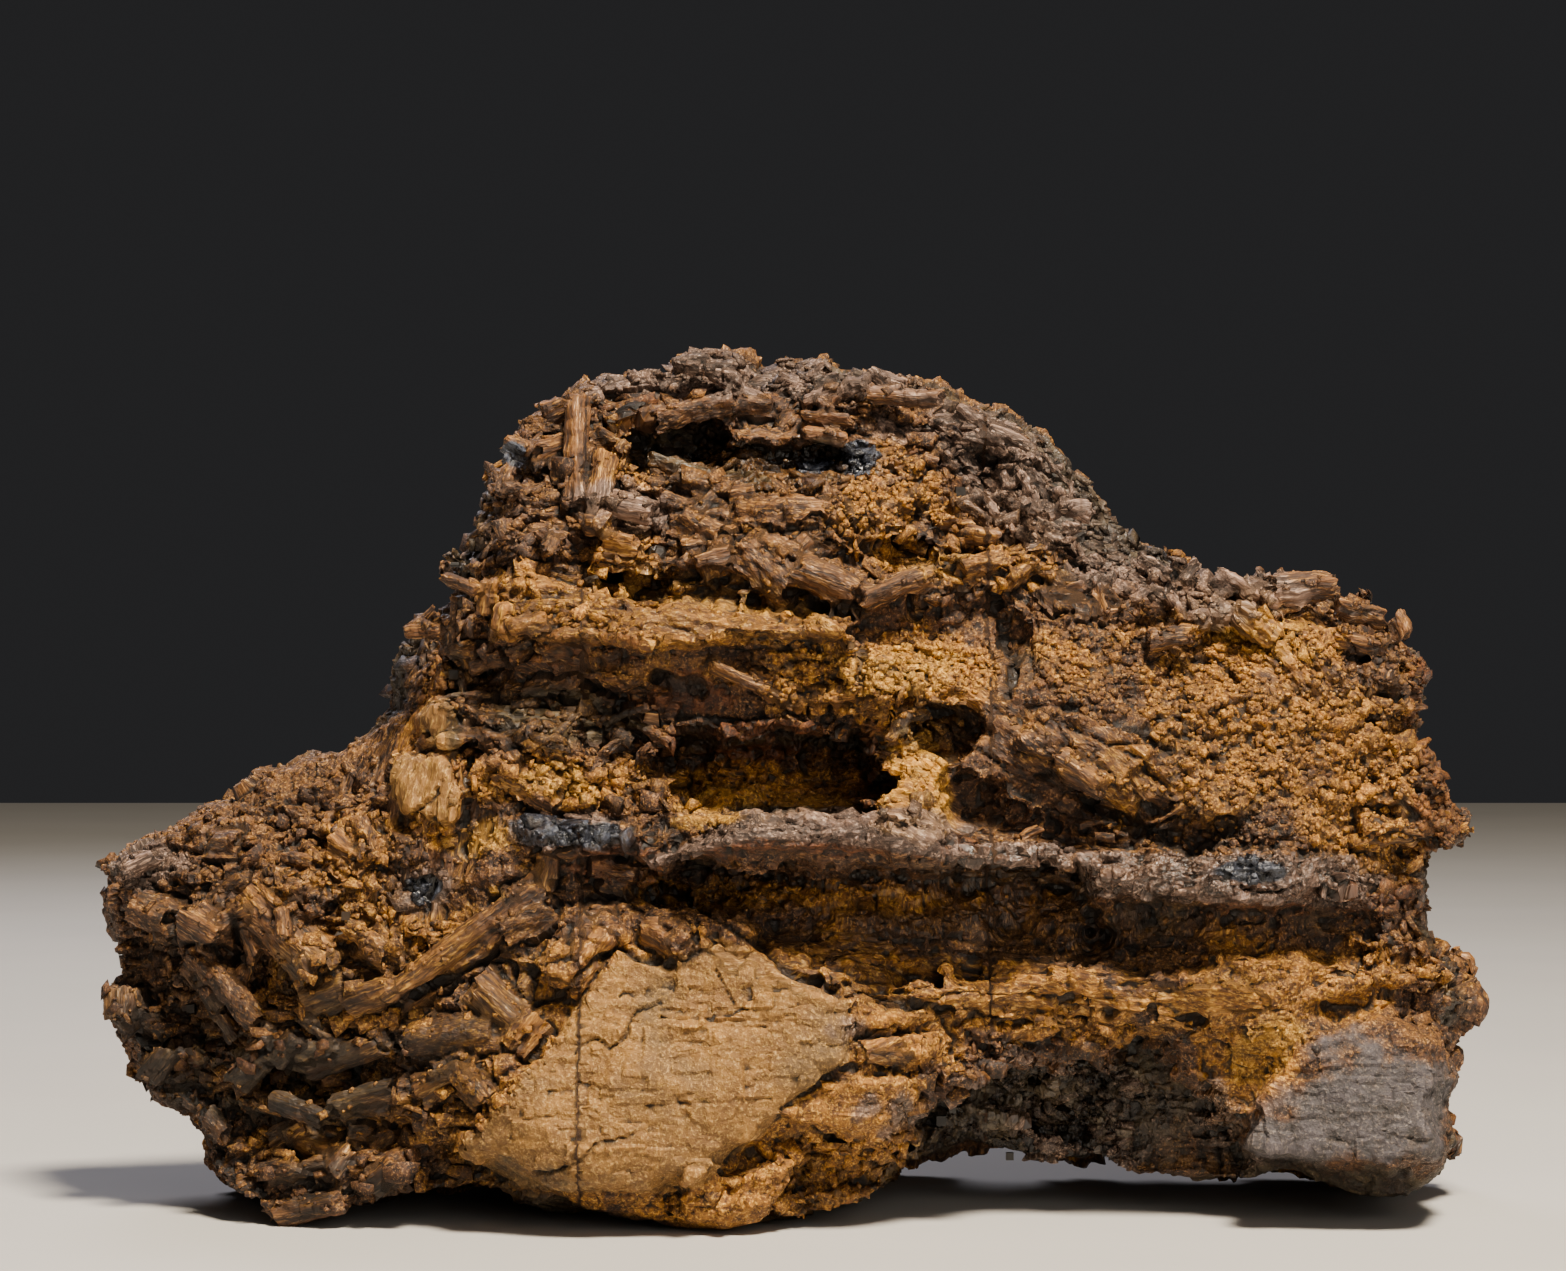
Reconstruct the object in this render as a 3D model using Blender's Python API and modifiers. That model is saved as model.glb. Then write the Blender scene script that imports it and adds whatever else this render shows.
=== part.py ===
"""A limonite pseudomorph: a block of bog iron ore in which buried stems and wood have turned to limonite.

The stone is one solid. Its front was laid out as it is seen from a point EYE_AHEAD in front of it and
EYE_UP above the table: a place on it is (across, up), where the line of sight crosses the upright plane
through the stone's middle, and deep, how far it lies behind that plane. All are in millimetres.
"""

import bmesh
import bpy
import numpy as np
from mathutils import Matrix, Vector

# Driving sizes. The millimetre lists below are those of a stone 400 mm wide.
STONE_WIDTH = 0.400
MM = STONE_WIDTH / 400
EYE_AHEAD = 1250.0
EYE_UP = 165.5
LEAST_THICKNESS = 14.0
FRONT_ROUNDING = 26.0
BACK_ROUNDING = 58.0
RIM_INSET = 4.0
WIDEST_AT = 0.3

# How finely the stone is worked out, and how many triangles are kept
SLAB_THICKNESS = 50.0
SLAB_GRAIN = 2.4
SOLID_GRAIN = 2.1
TRIANGLES = 9400
FRONT_THINNING = 0.5

# What the stone stands on, and where the box round it has its middle
TABLE_CUTTER = (0.8, 0.8, 0.2)
MIDDLE_ACROSS = 1.9
MIDDLE_DEEP = 10.3

# The outline, clockwise from the tip of the left wing: (across, up)
OUTLINE = [
    (-200, 93), (-199, 101), (-194, 107), (-184, 112), (-175, 116), (-163, 120), (-157, 124), (-153, 128),
    (-143, 128), (-138, 134), (-128, 138), (-123, 144), (-119, 147), (-115, 156), (-111, 162), (-109, 167),
    (-107, 172), (-99, 178), (-97, 181), (-100, 185), (-97, 189), (-94, 193), (-92, 200), (-90, 206),
    (-87, 215), (-81, 218), (-80, 223), (-75, 228), (-69, 231), (-62, 235), (-57, 240), (-50, 242),
    (-39, 244), (-30, 248), (-17, 249), (-9, 247), (-5, 245), (-1, 247), (13, 247), (18, 244),
    (37, 242), (44, 238), (52, 234), (64, 233), (73, 227), (80, 219), (91, 207), (97, 199),
    (106, 194), (116, 191), (123, 185), (131, 185), (135, 183), (141, 185), (157, 185), (160, 181),
    (170, 179), (178, 171), (187, 160), (188, 155), (186, 147), (186, 141), (184, 137), (191, 127),
    (195, 118), (200, 109), (195, 104), (189, 100), (191, 93), (189, 84), (193, 79), (199, 71),
    (197, 66), (200, 59), (195, 52), (194, 45), (196, 38), (192, 31), (196, 18), (191, 11),
    (181, 3), (159, 4), (146, 7), (133, 7), (118, 10), (102, 9), (93, 15), (73, 14),
    (64, 19), (53, 20), (46, 13), (38, 8), (32, 3), (11, -1), (-2, -5), (-18, -8),
    (-28, -5), (-39, -2), (-50, -3), (-68, 0), (-82, 5), (-102, 5), (-108, 3), (-123, -2),
    (-134, -5), (-144, -8), (-150, -5), (-153, 1), (-163, 6), (-169, 13), (-173, 22), (-185, 28),
    (-192, 40), (-196, 51), (-200, 59), (-199, 63), (-194, 67), (-195, 74), (-198, 84),
]

# How the front lies, by stations that the face is smoothed through: (across, up, deep)
FRONT_SPREAD = 15.0
FRONT_STATIONS = [
    # crown
    (-65, 225, -8), (-18, 234, 0), (-18, 214, -28), (34, 228, -12), (63, 216, -18), (-53, 199, -38),
    (-7, 193, -45), (34, 199, -40), (72, 187, -32),
    # middle
    (-76, 176, -42), (-39, 170, -55), (5, 164, -58), (48, 164, -50), (-102, 150, -30), (-70, 141, -48),
    (-30, 141, -50), (11, 141, -52), (48, 124, -55), (-102, 121, -42), (-65, 118, -55), (-7, 109, -66),
    (34, 108, -66),
    # right shoulder and flank
    (92, 170, -38), (121, 176, -25), (150, 170, -25), (176, 164, -15), (92, 141, -52), (135, 141, -50),
    (173, 141, -30), (193, 109, -12), (106, 118, -55), (150, 118, -50), (179, 95, -32), (135, 95, -58),
    (164, 92, -50),
    # left wing
    (-189, 100, -8), (-169, 109, -5), (-146, 121, -8), (-126, 132, -12), (-169, 89, -28), (-146, 83, -42),
    (-126, 95, -40), (-105, 95, -50), (-88, 83, -58), (-189, 74, -8), (-195, 60, -8), (-169, 63, -30),
    (-140, 57, -48), (-105, 57, -55), (-184, 37, -15), (-160, 34, -32), (-131, 37, -45), (-140, 8, -50),
    (-117, 11, -50), (-160, 13, -25),
    # foot and clay plate
    (-53, 89, -52), (-65, 66, -60), (-24, 71, -58), (-82, 31, -66), (-24, 37, -70), (19, 51, -64),
    (-53, 11, -72), (-18, -1, -66), (19, 16, -58), (48, 42, -50),
    # lower right
    (92, 66, -52), (121, 60, -55), (92, 45, -45), (121, 37, -40), (86, 25, -25), (121, 19, -35),
    (156, 66, -52), (185, 63, -35), (150, 37, -58), (179, 37, -52), (164, 16, -60),
]

# How the back lies, in the same way
BACK_SPREAD = 34.0
BACK_STATIONS = [
    (-190, 90, 42), (-150, 100, 58), (-150, 40, 55), (-100, 150, 60), (-100, 80, 82), (-100, 20, 66),
    (-60, 220, 52), (0, 235, 50), (60, 215, 55), (-50, 160, 84), (20, 165, 92), (90, 160, 70),
    (150, 165, 52), (-40, 80, 96), (40, 90, 100), (110, 90, 92), (170, 100, 62), (-30, 20, 84),
    (60, 30, 86), (130, 30, 74), (185, 50, 50),
]

# Where the rim that joins front and back begins and ends: (across, up, front deep, back deep)
RIM_SPREAD = 22.0
RIM_STATIONS = [
    (-60, 235, 2, 26), (0, 247, 8, 30), (60, 233, 4, 26), (85, 212, 2, 26), (120, 188, 2, 26),
    (160, 182, 0, 22), (186, 150, -2, 20), (197, 110, -6, 18), (192, 90, -12, 20), (198, 66, -28, 20),
    (195, 35, -38, 24), (185, 6, -44, 64), (145, 6, -30, 66), (100, 10, -14, 58), (60, 18, -14, 60),
    (30, 2, -50, 60), (-20, -7, -60, 64), (-50, -3, -60, 62), (-95, 5, -36, 52), (-123, -2, -46, 46),
    (-150, -5, -48, 40), (-180, 28, -20, 30), (-195, 50, -6, 26), (-197, 80, 0, 24), (-190, 108, 2, 26),
    (-150, 127, 0, 30), (-110, 165, -6, 24), (-97, 190, -6, 20), (-85, 215, -4, 22),
]

# Hollows: how deep each is at its upper and lower end, and its outline
HOLLOW_EDGE = 2.5
HOLLOWS = {
    "crown hollow": (24, 9, [
        (-54, 220), (-39, 225), (-24, 227), (-17, 225), (-14, 219), (5, 219), (19, 220), (17, 211),
        (-7, 209), (-17, 211), (-24, 218), (-39, 219)]),
    "band hollow": (15, 5, [
        (-50, 186), (-24, 182), (-7, 179), (12, 176), (9, 168), (-12, 174), (-39, 178), (-49, 181)]),
    "right slot": (14, 6, [(15, 192), (43, 192), (44, 187), (28, 182), (17, 187)]),
    "left hollow": (15, 4, [
        (-95, 158), (-76, 157), (-53, 150), (-40, 147), (-41, 133), (-56, 131), (-91, 145)]),
    "crack beside the yellow block": (13, 13, [
        (-97, 153), (-94, 147), (-92, 134), (-93, 120), (-95, 121), (-95, 134), (-97, 147)]),
    "cave": (38, 24, [
        (-39, 127), (-27, 131), (-4, 134), (19, 132), (27, 129), (30, 118), (19, 114), (2, 116),
        (-12, 116), (-24, 114), (-34, 120)]),
    "hole beside the rib": (22, 6, [(38, 145), (59, 142), (60, 137), (43, 133)]),
    "brown hollow": (10, 2, [
        (25, 173), (63, 176), (75, 164), (73, 150), (60, 149), (51, 158), (25, 161)]),
    "notch above the shelf": (12, 3, [(48, 123), (63, 118), (77, 109), (66, 104), (50, 106)]),
    "slot above the shelf": (9, 3, [(89, 113), (106, 115), (138, 109), (138, 105), (98, 106)]),
    "notch in the right edge": (12, 6, [(179, 101), (193, 103), (193, 93), (182, 95)]),
    "upper gap in the wing": (12, 6, [(-197, 78), (-181, 71), (-175, 60), (-186, 57), (-195, 67)]),
    "middle gap in the wing": (12, 5, [(-158, 71), (-143, 68), (-134, 58), (-151, 56)]),
    "lower gap in the wing": (11, 5, [(-184, 56), (-162, 60), (-156, 45), (-179, 48)]),
    "gap in the foot": (12, 5, [(-150, 41), (-140, 40), (-114, 43), (-112, 37), (-131, 31), (-149, 34)]),
    "shaded belly of the foot": (8, 5, [
        (-157, 28), (-134, 21), (-111, 24), (-110, 16), (-140, 13), (-162, 21)]),
    "recess under the shelf": (36, 6, [
        (-41, 93), (-33, 97), (-12, 99), (19, 98), (83, 98), (88, 89), (95, 77), (80, 67),
        (63, 64), (46, 69), (30, 64), (11, 70), (-4, 76), (-18, 86), (-30, 87)]),
    "recess under the shelf's end": (18, 3, [
        (88, 89), (170, 85), (170, 74), (150, 75), (133, 74), (115, 71), (104, 64), (90, 71)]),
    "undercut belly": (20, 24, [
        (43, 26), (63, 35), (86, 38), (106, 42), (124, 31), (134, 16), (133, 2), (92, 5), (43, 10)]),
    "undercut of the grey plate": (14, 26, [(135, 13), (197, 11), (190, -3), (135, -3)]),
    "arch beside the foot": (16, 26, [
        (-106, 15), (-95, 17), (-82, 9), (-70, 6), (-62, -3), (-82, -3), (-108, 0)]),
    "notch beside the lobe": (14, 20, [(-39, 6), (-29, 9), (-27, -8), (-39, -8)]),
    "undercut beside the lobe": (10, 22, [(2, 11), (14, 16), (40, 12), (33, -4), (5, -8)]),
}

# Ledges: how far each stands out at its upper and lower end, and its outline
LEDGE_EDGE = 2.0
LEDGES = {
    "clay plate": (3, 7, [
        (-95, 16), (-82, 28), (-69, 44), (-57, 63), (-46, 73), (-30, 71), (-18, 78), (-11, 75), (9, 64),
        (19, 59), (19, 42), (12, 38), (-1, 27), (-12, 16), (-24, 5), (-41, 3), (-70, 5), (-85, 10)]),
    "lobe under the plate": (3, 4, [(-28, 9), (-12, 11), (6, 16), (2, 2), (-12, -9), (-24, -8), (-30, 0)]),
    "bench beside the plate": (4, 5, [(-4, 27), (21, 37), (41, 38), (40, 27), (22, 19), (5, 23)]),
    "upper brick": (4, 4, [(21, 58), (45, 60), (46, 52), (22, 51)]),
    "lower brick": (4, 4, [(22, 48), (47, 51), (48, 43), (23, 41)]),
    "lip of the shelf": (9, 13, [
        (-41, 100), (-27, 106), (-18, 109), (-11, 115), (-1, 116), (19, 113), (34, 113), (47, 109),
        (47, 100), (25, 104), (-7, 107), (-24, 103), (-39, 97)]),
    "step of the shelf": (9, 12, [(48, 99), (49, 104), (63, 103), (75, 106), (83, 103), (84, 98)]),
    "end of the shelf": (5, 9, [
        (85, 103), (121, 102), (147, 102), (167, 101), (170, 86), (121, 89), (88, 90)]),
    "blue lumps": (7, 9, [(-81, 112), (-73, 114), (-47, 109), (-41, 105), (-53, 103), (-76, 104)]),
    "wooden ledge": (5, 9, [
        (-86, 183), (-65, 184), (-39, 179), (-7, 176), (19, 169), (22, 164), (-7, 163), (-41, 161),
        (-82, 164), (-91, 176)]),
    "wooden sliver": (3, 5, [(-82, 189), (-47, 191), (-24, 189), (-27, 186), (-53, 184), (-82, 185)]),
    "lower yellow block": (6, 7, [(-114, 126), (-110, 131), (-98, 131), (-93, 121), (-95, 109), (-111, 114)]),
    "upper yellow block": (8, 8, [(-106, 142), (-102, 147), (-97, 146), (-93, 140), (-95, 132), (-102, 133)]),
    "ochre rib": (5, 7, [(28, 129), (38, 127), (47, 118), (48, 109), (35, 111), (29, 117)]),
    "grey plate": (4, 7, [
        (133, 17), (137, 31), (150, 46), (173, 58), (191, 48), (195, 37), (192, 30), (191, 12), (139, 13)]),
    "slab in the wing": (9, 11, [
        (-157, 89), (-149, 98), (-140, 92), (-131, 71), (-135, 64), (-144, 70), (-155, 82)]),
    "block in the wing": (6, 8, [(-173, 87), (-162, 89), (-159, 75), (-171, 77)]),
    "yellow knob": (4, 7, [(18, 158), (34, 163), (50, 156), (51, 150), (35, 145), (19, 150)]),
    "scar on the flank": (2, 6, [(75, 147), (104, 142), (111, 134), (98, 118), (80, 124), (66, 134)]),
    "left flap": (4, 8, [(-65, 85), (-53, 89), (-45, 77), (-50, 74), (-62, 63), (-69, 67)]),
    "right flap": (4, 8, [(-41, 87), (-24, 79), (-30, 70), (-37, 76)]),
}

# Stems turned to limonite: (across, up) of both ends and the diameter
STEM_SIDES = 10
STEM_PROUD = 0.58
STEM_TAPER = 0.86
STEMS = {
    "crown": [
        ((-59, 234), (-60, 203), 7), ((-51, 218), (-53, 200), 9), ((-38, 227), (-15, 233), 8),
        ((6, 229), (20, 228), 5), ((6, 224), (18, 222), 5), ((-39, 217), (-21, 212), 5),
        ((-14, 201), (1, 201), 8), ((0, 202), (16, 200), 7), ((-50, 204), (-37, 201), 8),
        ((-72, 218), (-63, 221), 8), ((-80, 222), (-73, 218), 7), ((-58, 198), (-50, 196), 7),
        ((-31, 200), (-19, 194), 8), ((-70, 229), (-63, 232), 8), ((25, 235), (46, 234), 6),
        ((60, 225), (72, 220), 5)],
    "middle": [
        ((-21, 192), (-18, 183), 9), ((-12, 192), (3, 178), 10), ((4, 185), (21, 178), 8),
        ((53, 195), (62, 193), 6), ((51, 185), (64, 187), 8), ((65, 180), (73, 187), 5),
        ((18, 196), (16, 192), 7), ((-21, 157), (6, 146), 5), ((-91, 142), (-65, 140), 6),
        ((-88, 136), (-53, 135), 5), ((22, 176), (43, 183), 6), ((-82, 127), (-65, 118), 8),
        ((43, 118), (63, 127), 9), ((80, 129), (93, 121), 7)],
    "right shoulder": [
        ((141, 179), (159, 180), 8), ((160, 174), (174, 170), 7), ((160, 166), (175, 162), 6),
        ((149, 164), (163, 150), 5), ((143, 161), (156, 146), 5), ((133, 172), (142, 164), 6),
        ((106, 164), (119, 165), 7), ((177, 171), (180, 164), 8), ((175, 121), (191, 105), 9),
        ((167, 109), (185, 108), 8)],
    "left wing": [
        ((-114, 59), (-70, 92), 9), ((-110, 56), (-67, 86), 8), ((-90, 64), (-78, 53), 10),
        ((-79, 46), (-72, 55), 8), ((-139, 59), (-126, 64), 9), ((-126, 59), (-112, 64), 8),
        ((-109, 48), (-82, 51), 9), ((-171, 73), (-152, 53), 8), ((-174, 70), (-159, 48), 5),
        ((-137, 87), (-133, 75), 7), ((-156, 81), (-152, 73), 6), ((-131, 93), (-117, 84), 10),
        ((-127, 80), (-113, 71), 9), ((-192, 64), (-192, 54), 10), ((-151, 48), (-135, 42), 9),
        ((-137, 40), (-115, 48), 8), ((-159, 35), (-151, 43), 9), ((-149, 31), (-133, 25), 7),
        ((-132, 29), (-113, 34), 7), ((-105, 33), (-91, 42), 8), ((-184, 36), (-177, 45), 8),
        ((-183, 29), (-167, 28), 6), ((-167, 27), (-161, 20), 6), ((-146, -3), (-128, 1), 7),
        ((-151, 9), (-140, 12), 8), ((-131, 8), (-125, 16), 7), ((-120, 5), (-110, 13), 8),
        ((-188, 87), (-176, 82), 9), ((-198, 98), (-178, 95), 10), ((-123, 112), (-119, 100), 8)],
    "round the clay plate": [
        ((-65, 64), (-53, 80), 9), ((-41, 80), (-27, 74), 6), ((34, 63), (66, 60), 7),
        ((88, 60), (106, 58), 9), ((106, 57), (118, 51), 9), ((135, 50), (159, 63), 6),
        ((159, 63), (191, 67), 7), ((98, 92), (115, 93), 8)],
}

# Chips that broke off all over the stone: their size and how far they stand out
CHIP_LAYERS = [(46.0, 6.0, 1), (19.0, 3.2, 2)]
SMOOTH_LEDGES = ("clay plate", "grey plate", "lower yellow block", "wooden ledge")
SMOOTH_SHARE = 0.35


def clear_scene():
    for obj in list(bpy.data.objects):
        bpy.data.objects.remove(obj)


def lattice(cells, seed):
    """A number between -1 and 1 for each whole-number cell, always the same for the same cell and seed."""
    cells = cells.astype(np.int64)
    mixed = (cells[..., 0] * 73856093) ^ (cells[..., 1] * 19349663) ^ (cells[..., 2] * 83492791)
    mixed = mixed ^ (seed * 2654435761)
    mixed = ((mixed ^ (mixed >> 13)) * 1274126177) & 0x7FFFFFFF
    mixed = ((mixed ^ (mixed >> 15)) * 668265263) & 0x7FFFFFFF
    return (mixed ^ (mixed >> 12)) % 65536 / 32767.5 - 1


def smooth_noise(points, size, seed):
    """Noise between -1 and 1: the lattice's numbers at the eight corners round each point, blended smoothly."""
    scaled = points / size
    low = np.floor(scaled)
    share = scaled - low
    share = share * share * (3 - 2 * share)
    total = np.zeros(len(points))
    for corner in np.ndindex(2, 2, 2):
        weight = np.prod(np.where(corner, share, 1 - share), axis=1)
        total += weight * lattice(low + corner, seed)
    return total


def chips(points, size, seed):
    """Height of a chipped surface, about -1 to 1: in each cell a tilted cap sits on a jittered centre,
    cap = level + slope . offset - offset^2, and the highest of the nearby caps shows."""
    scaled = points / size
    home = np.floor(scaled)
    best = np.full(len(points), -np.inf)
    for step in np.ndindex(3, 3, 3):
        cell = home + step - 1
        jitter, slope = (
            np.stack([lattice(cell, seed * 31 + kind * 7 + axis) for axis in range(3)], axis=1) for kind in (0, 1))
        offset = scaled - (cell + 0.5 + 0.42 * jitter)
        level = 0.45 * lattice(cell, seed * 31 + 29)
        best = np.maximum(best, level + (slope * offset).sum(axis=1) - 1.6 * (offset * offset).sum(axis=1))
    return best


def ramp(values, width):
    """0 below -width, 1 above width, and a smooth rise between."""
    share = np.clip(values / (2 * width) + 0.5, 0, 1)
    return share * share * (3 - 2 * share)


def inset(face, outline):
    """How far each point lies inside a closed outline, negative outside, and the unit vector inwards."""
    nearest = np.full(len(face), np.inf)
    inwards = np.zeros((len(face), 2))
    inside = np.zeros(len(face), bool)
    corners = np.array(outline, float)
    for start, end in zip(corners, np.roll(corners, -1, axis=0)):
        run = end - start
        share = np.clip((face - start) @ run / (run @ run), 0, 1)
        offset = face - (start + share[:, None] * run)
        distance = np.hypot(offset[:, 0], offset[:, 1])
        closer = distance < nearest
        nearest = np.where(closer, distance, nearest)
        inwards[closer] = offset[closer]
        crosses = (start[1] > face[:, 1]) != (end[1] > face[:, 1])
        height = run[1] if abs(run[1]) > 1e-9 else 1e-9
        inside ^= crosses & (face[:, 0] < start[0] + (face[:, 1] - start[1]) / height * run[0])
    sign = np.where(inside, 1.0, -1.0)
    inwards *= (sign / np.maximum(nearest, 1e-6))[:, None]
    return nearest * sign, inwards


def through_stations(face, stations, spread):
    """Depth of a sheet that passes smoothly near the stations: their depths, weighted by exp(-r^2 / 2 spread^2).

    Only the nearest station counts where all are far, as the weights are taken against the nearest one's.
    """
    known = np.array(stations, float)
    squares = ((face[:, None, :] - known[None, :, :2]) ** 2).sum(axis=2)
    weights = np.exp((squares.min(axis=1, keepdims=True) - squares) / (2 * spread * spread))
    return (weights @ known[:, 2:]) / weights.sum(axis=1, keepdims=True)


def raised(face, upper, lower, outline, edge):
    """Height of one ledge or hollow: from its lower end's value to its upper end's, with a ragged edge."""
    corners = np.array(outline, float)
    share = np.clip((face[:, 1] - corners[:, 1].min()) / np.ptp(corners[:, 1]), 0, 1)
    distance, _ = inset(face, outline)
    return (lower + (upper - lower) * share) * ramp(distance, edge)


def ragged(face):
    """The places on the face, shifted by up to 2 mm so that edges run as broken stone does."""
    points = np.column_stack([face[:, 0], np.zeros(len(face)), face[:, 1]])
    return face + 2.0 * np.column_stack([smooth_noise(points, 9.0, 11), smooth_noise(points, 9.0, 12)])


def front_depth(face):
    """Depth of the front: the sheet through its stations, less each ledge, plus each hollow."""
    deep = through_stations(face, FRONT_STATIONS, FRONT_SPREAD)[:, 0]
    broken = ragged(face)
    for upper, lower, outline in LEDGES.values():
        deep -= raised(broken, upper, lower, outline, LEDGE_EDGE)
    for upper, lower, outline in HOLLOWS.values():
        deep += raised(broken, upper, lower, outline, HOLLOW_EDGE)
    return deep


def chipping(face, share):
    """How strongly each place is chipped: less on the smooth ledges of the front."""
    strength = np.ones(len(face))
    for name in SMOOTH_LEDGES:
        distance, _ = inset(face, LEDGES[name][2])
        strength -= (1 - SMOOTH_SHARE) * ramp(distance, 4.0) * (share < 0.5)
    return np.clip(strength, SMOOTH_SHARE, 1)


def in_room(face, deep):
    """World place in metres of points seen at (across, up) and lying deep behind the middle plane."""
    scale = 1 + deep / EYE_AHEAD
    across = face[:, 0] * scale - MIDDLE_ACROSS
    up = EYE_UP + (face[:, 1] - EYE_UP) * scale
    return np.column_stack([across, deep - MIDDLE_DEEP, up]) * MM


def vertices_of(mesh):
    flat = np.empty(len(mesh.vertices) * 3)
    mesh.vertices.foreach_get("co", flat)
    return flat.reshape(-1, 3)


def set_vertices(mesh, points):
    mesh.vertices.foreach_set("co", points.ravel())
    mesh.update()


def remeshed(obj, grain):
    """The object's shape as an even, closed mesh with faces of about that size."""
    even = obj.modifiers.new("even faces", "REMESH")
    even.mode = "VOXEL"
    even.voxel_size = grain
    evaluated = obj.evaluated_get(bpy.context.evaluated_depsgraph_get())
    return bpy.data.meshes.new_from_object(evaluated)


def outline_slab(collection):
    """A flat slab of the outline's shape, with even faces: across and up in X and Y, its thickness in Z."""
    curve = bpy.data.curves.new("outline", "CURVE")
    curve.dimensions = "2D"
    curve.fill_mode = "BOTH"
    curve.extrude = SLAB_THICKNESS / 2
    spline = curve.splines.new("POLY")
    spline.points.add(len(OUTLINE) - 1)
    for point, (across, up) in zip(spline.points, OUTLINE):
        point.co = (across, up, 0, 1)
    spline.use_cyclic_u = True
    outline = bpy.data.objects.new("outline", curve)
    collection.objects.link(outline)
    evaluated = outline.evaluated_get(bpy.context.evaluated_depsgraph_get())
    slab = bpy.data.objects.new("slab", bpy.data.meshes.new_from_object(evaluated))
    bpy.data.objects.remove(outline)
    collection.objects.link(slab)
    mesh = remeshed(slab, SLAB_GRAIN)
    bpy.data.objects.remove(slab)
    return mesh


def shaped_body(collection):
    """The stone's body: the slab with its front, back and rim moved to where the real ones lie."""
    mesh = outline_slab(collection)
    points = vertices_of(mesh)
    face = points[:, :2]
    share = np.clip(0.5 - points[:, 2] / (SLAB_THICKNESS - 2 * SLAB_GRAIN), 0, 1)
    distance, inwards = inset(face, OUTLINE)
    distance = np.maximum(distance, 0)

    rim_inset = RIM_INSET * ((share - WIDEST_AT) / (1 - WIDEST_AT)) ** 2
    fade = np.clip(1 - distance / (4 * RIM_INSET), 0, 1)
    moved = face + inwards * (rim_inset * fade)[:, None]

    def rounded(sheet, rim, size):
        """The sheet, turned over to meet the rim along a quarter of an ellipse."""
        return sheet + (rim - sheet) * (1 - np.sqrt(1 - (1 - np.clip(distance / size, 0, 1)) ** 2))

    rim = through_stations(face, RIM_STATIONS, RIM_SPREAD)
    back = rounded(through_stations(face, BACK_STATIONS, BACK_SPREAD)[:, 0], rim[:, 1], BACK_ROUNDING)
    front = rounded(front_depth(face), rim[:, 0], FRONT_ROUNDING)
    front = np.minimum(front, back - LEAST_THICKNESS)
    deep = front + (back - front) * share

    set_vertices(mesh, np.column_stack([moved[:, 0], deep, moved[:, 1]]))
    normals = np.empty(len(mesh.vertices) * 3)
    mesh.vertex_normals.foreach_get("vector", normals)
    surface = vertices_of(mesh)
    height = sum(size * chips(surface, grain, seed) for grain, size, seed in CHIP_LAYERS)
    surface += normals.reshape(-1, 3) * (height * chipping(face, share))[:, None]
    set_vertices(mesh, in_room(surface[:, [0, 2]], surface[:, 1]))
    return mesh


def stem_meshes():
    """The stems as tapered cylinders that lie on the front, each sunk by less than half of its thickness."""
    cylinders = []
    for group in STEMS.values():
        for start, end, diameter in group:
            ends = np.array([start, end], float)
            deep = front_depth(ends) + diameter * (0.5 - STEM_PROUD)
            first, last = (Vector(point) for point in in_room(ends, deep))
            run = last - first
            turn = run.to_track_quat("Z", "Y").to_matrix().to_4x4()
            bpy.ops.mesh.primitive_cone_add(
                vertices=STEM_SIDES, radius1=diameter / 2 * MM, radius2=diameter / 2 * STEM_TAPER * MM,
                depth=run.length)
            stem = bpy.context.object
            stem.data.transform(Matrix.Translation((first + last) / 2) @ turn)
            cylinders.append(stem)
    return cylinders


def largest_piece(mesh):
    """Keeps the stone's outer skin and leaves out the skins of any bubbles shut in between body and stems."""
    shape = bmesh.new()
    shape.from_mesh(mesh)
    left = set(shape.verts)
    largest = set()
    while left:
        found = {left.pop()}
        edge = list(found)
        while edge:
            near = {other for vertex in edge for link in vertex.link_edges for other in link.verts}
            edge = list(near - found)
            found.update(edge)
        left -= found
        largest = max(largest, found, key=len)
    bmesh.ops.delete(shape, geom=[vertex for vertex in shape.verts if vertex not in largest], context="VERTS")
    shape.to_mesh(mesh)
    shape.free()


def thinning_weights(obj):
    """A vertex group that lets the back and the underside be thinned out more than the front."""
    mesh = obj.data
    normals = np.empty(len(mesh.vertices) * 3)
    mesh.vertex_normals.foreach_get("vector", normals)
    facing = -normals[1::3]
    weights = 1 - (1 - FRONT_THINNING) * ramp(facing + 0.1, 0.3)
    group = obj.vertex_groups.new(name="thinned more")
    for level in range(11):
        members = np.flatnonzero(np.round(weights * 10) == level)
        group.add(members.tolist(), level / 10, "REPLACE")
    return group


def limonite():
    """Rust-brown, dull, earthy iron ore."""
    material = bpy.data.materials.new("limonite")
    material.use_nodes = True
    shader = material.node_tree.nodes["Principled BSDF"]
    shader.inputs["Base Color"].default_value = (0.24, 0.13, 0.055, 1)
    shader.inputs["Roughness"].default_value = 0.85
    return material


def table_cutter(collection):
    """A block whose top is the table, which the stone's underside is worn flat on."""
    bpy.ops.mesh.primitive_cube_add(size=1)
    cutter = bpy.context.object
    cutter.name = "table_cutter"
    cutter.data.transform(Matrix.Diagonal((*TABLE_CUTTER, 1)))
    cutter.data.transform(Matrix.Translation((0, 0, -TABLE_CUTTER[2] / 2)))
    cutter.hide_render = True
    cutter.display_type = "WIRE"
    move_to(cutter, collection)
    return cutter


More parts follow.
